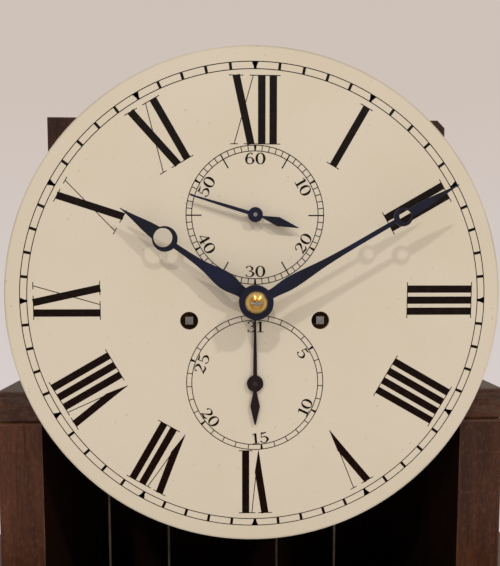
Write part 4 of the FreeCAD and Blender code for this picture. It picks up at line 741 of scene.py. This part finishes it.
def small_hand(name, node, pivot, flank, boss, bore, material):
    """A counterpoised hand in the place of its CAD node: a sheet with a leaf tail, and a turned boss with a pipe.

    The sheet is a flat stroke along the hand, at the angle of the node's points furthest from the pivot. The boss
    is a profile of (radius, y) turned about the pivot: corner k of a ring lies at pivot + radius (sin t, cos t).
    """
    low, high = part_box(node)
    face, end = low[1], high[1]
    front, back = face + SHEET_FRONT, face + SHEET_BACK
    flat = corners(NODES[node].data)[:, 0::2] - pivot
    far = np.hypot(flat[:, 0], flat[:, 1])
    tip = flat[far > far.max() - TIP_BAND].mean(0)
    along, half = 0.001 * np.array(flank).T
    run = turned(np.stack([0.0 * along, along], 1), math.atan2(tip[0], tip[1]), pivot)
    points, quads = stroke(run, 2 * half)
    points[:, 1] = np.where(points[:, 1] < -0.5, front, back)
    pipe = bore + PIPE_WALL
    profile = [(bore, face), (boss - BOSS_CHAMFER, face), (boss, face + BOSS_CHAMFER), (boss, back)]
    radius, depth = np.array(profile + [(pipe, back), (pipe, end), (bore, end)]).T
    t = np.arange(BOSS_SIDES)[:, None] * FULL_TURN / BOSS_SIDES
    rings = np.stack([pivot[0] + radius * np.sin(t), depth + 0 * t, pivot[1] + radius * np.cos(t)], -1)
    walls = ring_faces(BOSS_SIDES, len(radius), True) + len(points)
    points = np.concatenate([points, rings.reshape(-1, 3)])
    made = new_object(name, points, np.concatenate([quads, walls]).tolist(), material)
    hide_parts(node)
    return made


# ---- lines


LINE_RADIUS, LINE_PITCH, LINE_TURNS = 0.022, 0.0023, 8
TURN_STEPS, TUBE_SIDES = 12, 10
# How far from a bend or an end the line is straight, and how far above the pulley a straight run has a point.
LEAD, ABOVE = 0.011, 0.25


def line_route(fixed, free, sheave, drum, knot):
    """Control points of one gut line: down from the seatboard, under the pulley, up and round the barrel.

    A curved part of radius r is the polygon that touches its circle, so point k of n lies at r / cos(half step).
    """
    y, low = sheave[1:]
    step = FULL_TURN / TURN_STEPS
    wide = LINE_RADIUS / math.cos(0.5 * step)
    side = math.copysign(1.0, free - fixed)
    down = [(fixed, y, z) for z in (knot, knot - LEAD, low + ABOVE, low + LEAD)]
    a = (np.arange(TURN_STEPS // 2) + 0.5) * step
    under = np.stack([sheave[0] - side * wide * np.cos(a), y + 0 * a, low - wide * np.sin(a)], 1)
    up = [(free, y, z) for z in (low + LEAD, low + ABOVE, drum[2] - LEAD)]
    a = (np.arange(TURN_STEPS * LINE_TURNS) + 0.5) * step
    along = y + LINE_PITCH * a / FULL_TURN
    wound = np.stack([drum[0] - wide * np.cos(a), along, drum[2] + wide * np.sin(a)], 1)
    return np.concatenate([down, under, up, wound])


def knot_path(centre):
    """An overhand knot drawn tight: s (sin t + 2 sin 2t, cos t - 2 cos 2t) across and h sin 3t down.

    The size s is 1.1 mm and the height h is 1.7 mm.
    """
    t = np.linspace(0.0, FULL_TURN, 73)
    around = 0.0011 * np.stack([np.sin(t) + 2 * np.sin(2 * t), np.cos(t) - 2 * np.cos(2 * t)], 1)
    return np.asarray(centre) + np.column_stack([around, -0.0017 * np.sin(3 * t)])


def spline_points(route):
    """Points along the smooth spline of a route, evaluated as a bare curve, with no point twice."""
    curve = bpy.data.curves.new("route", "CURVE")
    curve.dimensions = "3D"
    curve.resolution_u = 4
    spline = curve.splines.new("NURBS")
    spline.points.add(len(route) - 1)
    spline.points.foreach_set("co", np.concatenate([route, np.ones((len(route), 1))], 1).ravel())
    spline.order_u = 3
    spline.use_endpoint_u = True
    guide = bpy.data.objects.new("route", curve)
    bare = bpy.data.meshes.new_from_object(guide)
    path = corners(bare)
    bpy.data.objects.remove(guide)
    bpy.data.meshes.remove(bare)
    return path[np.concatenate([[True], np.linalg.norm(np.diff(path, axis=0), axis=1) > 1e-6])]


def sweep(name, path, thick, material):
    """A round tube along a path: each ring is centre + r (cos v side + sin v over), side square to path and Y."""
    way = unit(np.gradient(path, axis=0))
    side = unit(np.cross(way, (0.0, 1.0, 0.0)))
    over = np.cross(way, side)
    v = (np.arange(TUBE_SIDES) * FULL_TURN / TUBE_SIDES)[None, :, None]
    rings = path[:, None] + 0.5 * thick * (np.cos(v) * side[:, None] + np.sin(v) * over[:, None])
    last = len(path) - 1
    k = np.arange(TUBE_SIDES)[None]
    quads = ring_faces(len(path), TUBE_SIDES)[:, [0, 3, 2, 1]]
    ends = [k[0, ::-1].tolist(), (last * TUBE_SIDES + k[0]).tolist()]
    made = new_object(name, rings.reshape(-1, 3), quads.tolist() + ends, material)
    steps = np.linalg.norm(np.diff(path, axis=0), axis=1)
    travel = np.concatenate([[0.0], np.cumsum(steps)]) / (math.pi * thick)
    uv = np.zeros((len(made.data.loops), 2))
    around = np.stack([k, k + 1, k + 1, k], -1).repeat(last, 0).reshape(-1) / TUBE_SIDES
    along = np.stack([travel[:-1], travel[:-1], travel[1:], travel[1:]], -1)
    uv[: len(around), 0] = around
    uv[: len(around), 1] = along[:, None].repeat(TUBE_SIDES, 1).reshape(-1)
    made.data.uv_layers.new(name="twist").data.foreach_set("uv", uv.ravel())
    made.data.polygons.foreach_set("use_smooth", np.ones(len(made.data.polygons), bool))
    made.data.update()
    return made


# ---- operators


DOOR_LIP = 0.009


class CLOCK_OT_case_wood(bpy.types.Operator):
    """Polishes the wooden case and lets dust lie on it"""

    bl_idname = "longcase.case_wood"
    bl_label = "Case wood"

    def execute(self, context):
        look = context.scene.longcase_finish
        edge = context.scene.longcase_sizes.edge
        upright = ["left_side", "right_side", "trunk_door", "base_panels"]
        dress(polished_wood("polished_upright", look, "Z", 0.0), *upright)
        door_low, door_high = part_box("trunk_door")
        rail = 0.5 * (door_high[0] - door_low[0]) - DOOR_LIP
        dress(polished_wood("polished_frame", look, "Z", 0.0, rail=rail), "trunk_frame")
        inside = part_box("seatboard")[0][2]
        # The backboard wood is darkened overall, partly as painted shade inside the trunk, and its front below
        # the seatboard carries more painted shade.
        dress(polished_wood("backboard_wood", look, "Z", 0.6, 0.55, shaded_below=inside), "backboard")
        level = ["throat_moulding", "waist_moulding", "plinth_skirting"]
        dress(polished_wood("polished_level", look, "X", 0.75), *level)
        dress(polished_wood("dusty_board", look, "X", 0.8, 0.9, weathered=0.2), "seatboard", "base_floor")
        ease_edges(edge, *upright, "seatboard", "backboard")
        ease_edges(0.4 * edge, "trunk_frame")
        return {"FINISHED"}


class CLOCK_OT_case_fittings(bpy.types.Operator):
    """Finishes the hinges, the lock and the hooks that hold the movement"""

    bl_idname = "longcase.case_fittings"
    bl_label = "Case fittings"

    def execute(self, context):
        brass, steel = metal_pairs(context.scene.longcase_finish)
        dress(aged_metal("hinge_brass", *brass, 0.26, 0.5), "hinge_frame_leaves", "hinge_door_leaves")
        dress(aged_metal("escutcheon_brass", *brass, 0.2, 0.42), "door_escutcheon")
        dress(aged_metal("lock_steel", *steel, 0.3, 0.52), "door_lock", "lock_bolt", "seatboard_hooks")
        return {"FINISHED"}


# A wheel or barrel, the joint it turns on and the radius of its steel arbor.
TRAINS = [
    ("going_great_wheel", "going_great_turn", 0.004),
    ("centre_wheel", "centre_turn", 0.0055),
    ("third_wheel", "third_turn", 0.0045),
    ("escape_wheel", "seconds_turn", 0.0035),
    ("strike_great_wheel", "strike_great_turn", 0.004),
    ("pin_wheel", "pin_wheel_turn", 0.0055),
    ("gathering_wheel", "gathering_turn", 0.0045),
    ("warning_wheel", "warning_turn", 0.0035),
    ("fly", "fly_turn", 0.003),
    ("going_barrel", "going_winding", 0.0062),
    ("strike_barrel", "strike_winding", 0.0062),
    ("minute_wheel", "minute_wheel_turn", 0.0025),
]


class CLOCK_OT_movement(bpy.types.Operator):
    """Finishes the plates, the bell, the wheels and the pendulum"""

    bl_idname = "longcase.movement"
    bl_label = "Movement"

    def execute(self, context):
        look = context.scene.longcase_finish
        brass, steel = metal_pairs(look)
        plates = ["front_plate", "back_plate", "pillars", "back_cock", "hour_bridge", "date_cock", "dial_feet"]
        # The plates take dull and dark brass: partly tarnish, partly painted shade behind the dial.
        dress(aged_metal("plate_brass", look.brass_dull, look.brass_dark, 0.34, 0.56), *plates)
        low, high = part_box("bell")
        middle = tuple(0.5 * (a + b) for a, b in zip(low, high))
        dress(turned_metal("bell_face", look.bell, look.brass_dull, 0.2, 0.38, middle), "bell")
        dress(aged_metal("stand_steel", *steel, 0.28, 0.5), "bell_stand", "hammer", "suspension_spring")
        for name, joint, reach in TRAINS:
            dress(wheel_on_arbor(name + "_metal", look, PIVOTS[joint], reach), name)
        dress(aged_metal("date_brass", look.iron, look.steel_dull, 0.3, 0.5), "date_wheel")
        dress(aged_metal("motion_brass", *brass, 0.22, 0.4), "cannon_wheel", "hour_wheel")
        dress(aged_metal("pallet_steel", *steel, 0.22, 0.4), "pallets", "pendulum_rod")
        dress(aged_metal("bob_brass", *brass, 0.2, 0.4), "pendulum_bob", "rating_nut")
        return {"FINISHED"}


# Widths of a longer mark at its inner and outer end, and how far some lines start inside their ring.
HOUR_WEDGE, TENTH_WEDGE = (0.0003, 0.0043), (0.0008, 0.0016)
WEDGE_IN, FIVE_IN = 0.0002, 0.006
# How far the middles of the figures lie inside their ring, in figure heights.
SECONDS_INSET, DATE_INSET = 0.66, 0.6


class CLOCK_OT_dial(bpy.types.Operator):
    """Paints the dial and its hour numerals, minute ring, seconds ring and date ring"""

    bl_idname = "longcase.dial"
    bl_label = "Dial"

    def execute(self, context):
        look = context.scene.longcase_finish
        sizes = context.scene.longcase_sizes
        hair, figure = sizes.hair, sizes.figure
        dress(dial_paint("dial_cream", look), "dial")
        ink = dial_ink("dial_black", look)
        hours = []
        for place, text in enumerate(HOURS):
            hours += hour_numeral(text, math.radians(30 * (place + 1)), sizes)
        lay_marks("hour_numerals", hours, ink, sizes.paint)

        minutes = np.radians(np.arange(60) * 6.0)
        inner, outer = sizes.minute_in, sizes.minute_out
        ring = scale_ring(DIAL_CENTRE, inner, outer, hair, minutes, sizes.minute_bar)
        ring += [spoke(DIAL_CENTRE, a, inner - WEDGE_IN, outer, *HOUR_WEDGE) for a in minutes[::5]]
        lay_marks("minute_ring", ring, ink, sizes.paint)

        inner, outer = sizes.seconds_in, sizes.seconds_out
        ring = scale_ring(SECONDS_CENTRE, inner, outer, hair, minutes, hair)
        ring += [spoke(SECONDS_CENTRE, a, inner, outer, *TENTH_WEDGE) for a in minutes[::10]]
        ring += [spoke(SECONDS_CENTRE, a, inner - FIVE_IN, outer, 1.5 * hair, 1.5 * hair) for a in minutes[5::10]]
        for place, text in enumerate(["60", "10", "20", "30", "40", "50"]):
            ring += number(text, figure, math.radians(60 * place), SECONDS_CENTRE, inner - SECONDS_INSET * figure)
        lay_marks("seconds_ring", ring, ink, sizes.paint)

        days = np.arange(31) * FULL_TURN / 31
        inner, outer = sizes.date_in, sizes.date_out
        ring = scale_ring(DATE_CENTRE, inner, outer, hair, days, hair)
        for day in (31, 5, 10, 15, 20, 25):
            angle = days[day % 31]
            ring.append(spoke(DATE_CENTRE, angle, inner, outer, *TENTH_WEDGE))
            ring += number(str(day), figure, angle, DATE_CENTRE, inner - DATE_INSET * figure)
        lay_marks("date_ring", ring, ink, sizes.paint)
        return {"FINISHED"}


class CLOCK_OT_hands(bpy.types.Operator):
    """Colours the hands, shapes the two small ones and finishes the brass collet before the others"""

    bl_idname = "longcase.hands"
    bl_label = "Hands"

    def execute(self, context):
        look = context.scene.longcase_finish
        blue = blued_steel("hand_blue", look.blue, look.blue_edge)
        plum = blued_steel("hand_plum", look.plum, look.plum_edge)
        dress(blue, "hour_hand", "minute_hand", "seconds_hand")
        dress(plum, "date_hand")
        seconds = small_hand(
            "seconds_pointer", "seconds_hand", SECONDS_CENTRE, SECONDS_FLANK, *SECONDS_BOSS, blue
        )
        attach(seconds, "escape")
        date = small_hand("date_pointer", "date_hand", DATE_CENTRE, DATE_FLANK, *DATE_BOSS, plum)
        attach(date, "date")
        dress(collet_brass("collet_brass", look), "hand_collet")
        return {"FINISHED"}


# Heights over the seatboard of a line's end and of the middle of its knot.
LINE_END, KNOT_MIDDLE = 0.005, 0.0029


class CLOCK_OT_drive(bpy.types.Operator):
    """Finishes the weights and pulleys and strings them with gut lines"""

    bl_idname = "longcase.drive"
    bl_label = "Weights and lines"

    def execute(self, context):
        look = context.scene.longcase_finish
        thick = context.scene.longcase_sizes.line
        brass, _ = metal_pairs(look)
        dress(cast_iron("weight_iron", look), "going_weight", "strike_weight")
        dress(aged_metal("pulley_brass", *brass, 0.26, 0.46), "going_pulley", "strike_pulley")
        gut = twisted_gut("line_gut", look)
        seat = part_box("seatboard")[1][2]
        for train in ("going", "strike"):
            drum = PIVOTS[train + "_winding"]
            sheave = PIVOTS[train + "_pulley_turn"]
            free = drum[0] - LINE_RADIUS
            fixed = 2 * sheave[0] - free
            route = line_route(fixed, free, sheave, drum, seat + LINE_END)
            line = sweep(train + "_gut", spline_points(route), thick, gut)
            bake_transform(line)
            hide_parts(train + "_line")
            knot = sweep(train + "_knot", knot_path((fixed, sheave[1], seat + KNOT_MIDDLE)), thick, gut)
            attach(knot, "case")
        return {"FINISHED"}


FLOOR_RADIUS, FLOOR_SIDES, FLOOR_DOWN = 2.6, 96, 0.0005
# The way from the dial to each lamp, how far and how wide the lamps are, and the tints of lamps and fill.
LAMPS = {"lamp_right": (0.8, -1.0, 1.09), "lamp_left": (-0.27, -1.0, 1.11)}
LAMP_FAR, LAMP_WIDE = 8.0, 0.34
LAMP_TINT, FILL_TINT = (1.0, 0.965, 0.915), (1.0, 0.965, 0.925)
# The camera's frame in millimetres, and how near it sees.
FRAME_HIGH, NEAREST = 36.0, 0.02


class CLOCK_OT_stage(bpy.types.Operator):
    """Sets the floor, the room light, two large lamps and the camera"""

    bl_idname = "longcase.stage"
    bl_label = "Stage"

    def execute(self, context):
        scene = context.scene
        room = scene.longcase_stage
        scene.view_settings.view_transform = "Standard"
        t = np.arange(FLOOR_SIDES) * FULL_TURN / FLOOR_SIDES
        disc = np.stack([FLOOR_RADIUS * np.cos(t), FLOOR_RADIUS * np.sin(t), 0 * t - FLOOR_DOWN], 1)
        made = Finish("floor_paint")
        body = made.tint(room.floor, room.room, made.noise(3.0, 4.0), 0.3, 0.7, 0.2)
        paint = made.set(Base_Color=body, Roughness=0.7)
        floor = new_object("floor", disc, [list(range(FLOOR_SIDES))], paint)
        self.light_room(scene, room)
        for name, way in LAMPS.items():
            way = np.array(way) / np.linalg.norm(way)
            data = bpy.data.lights.new(name, "AREA")
            data.shape = "DISK"
            data.size = LAMP_WIDE
            data.energy = room.lamp
            data.color = LAMP_TINT
            lamp = placed(name, data)
            lamp.location = np.array([DIAL_X, DIAL_FRONT, DIAL_Z]) + LAMP_FAR * way
            lamp.rotation_euler = (math.acos(way[2]), 0.0, math.atan2(way[0], -way[1]))
        data = bpy.data.cameras.new("camera")
        data.sensor_fit = "VERTICAL"
        data.sensor_height = FRAME_HIGH
        data.lens = room.lens
        data.shift_y = room.rise
        data.clip_start = NEAREST
        camera = placed("camera", data)
        camera.location = room.eye
        camera.rotation_euler = (math.pi / 2 + room.pitch, 0.0, -room.turn)
        scene.camera = camera
        return {"FINISHED"}

    def light_room(self, scene, room):
        """Room colours for what the camera and shiny things see, and an even fill for the rest."""
        made = Finish("room", "worlds", "Background")
        scene.world = made.set(Color=FILL_TINT, Strength=room.fill)
        up = made.parts(made.node("TexCoord").outputs["Generated"])["Z"]
        seen = made.node("Background", Color=made.tint(room.low, room.room, up, -0.2, 0.3))
        path = made.node("LightPath").outputs
        direct = made.math("MAXIMUM", path["Is Camera Ray"], path["Is Glossy Ray"])
        direct = made.math("MAXIMUM", direct, path["Is Transmission Ray"])
        blend = made.node("MixShader", n0=direct, n1=made.shader.outputs[0], n2=seen.outputs[0])
        made.feed(made.tree.nodes["World Output"].inputs["Surface"], blend.outputs[0])


STEPS = (
    CLOCK_OT_stage,
    CLOCK_OT_drive,
    CLOCK_OT_case_wood,
    CLOCK_OT_case_fittings,
    CLOCK_OT_movement,
    CLOCK_OT_dial,
    CLOCK_OT_hands,
)


class CLOCK_PT_panel(bpy.types.Panel):
    """Lists the steps that finish the clock"""

    bl_idname = "CLOCK_PT_panel"
    bl_label = "Longcase clock"
    bl_space_type = "VIEW_3D"
    bl_region_type = "UI"
    bl_category = "Clock"

    def draw(self, context):
        for step in STEPS:
            self.layout.operator(step.bl_idname)


SETTINGS = {"longcase_finish": ClockFinish, "longcase_sizes": ClockSizes, "longcase_stage": ClockStage}
CLASSES = (*SETTINGS.values(), *STEPS, CLOCK_PT_panel)


def register():
    for kind in CLASSES:
        bpy.utils.register_class(kind)
    for name, kind in SETTINGS.items():
        setattr(bpy.types.Scene, name, bpy.props.PointerProperty(type=kind))


def unregister():
    for name in SETTINGS:
        delattr(bpy.types.Scene, name)
    for kind in reversed(CLASSES):
        bpy.utils.unregister_class(kind)


def main():
    """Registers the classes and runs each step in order."""
    register()
    for step in STEPS:
        group, action = step.bl_idname.split(".")
        getattr(getattr(bpy.ops, group), action)()


if __name__ == "__main__":
    main()
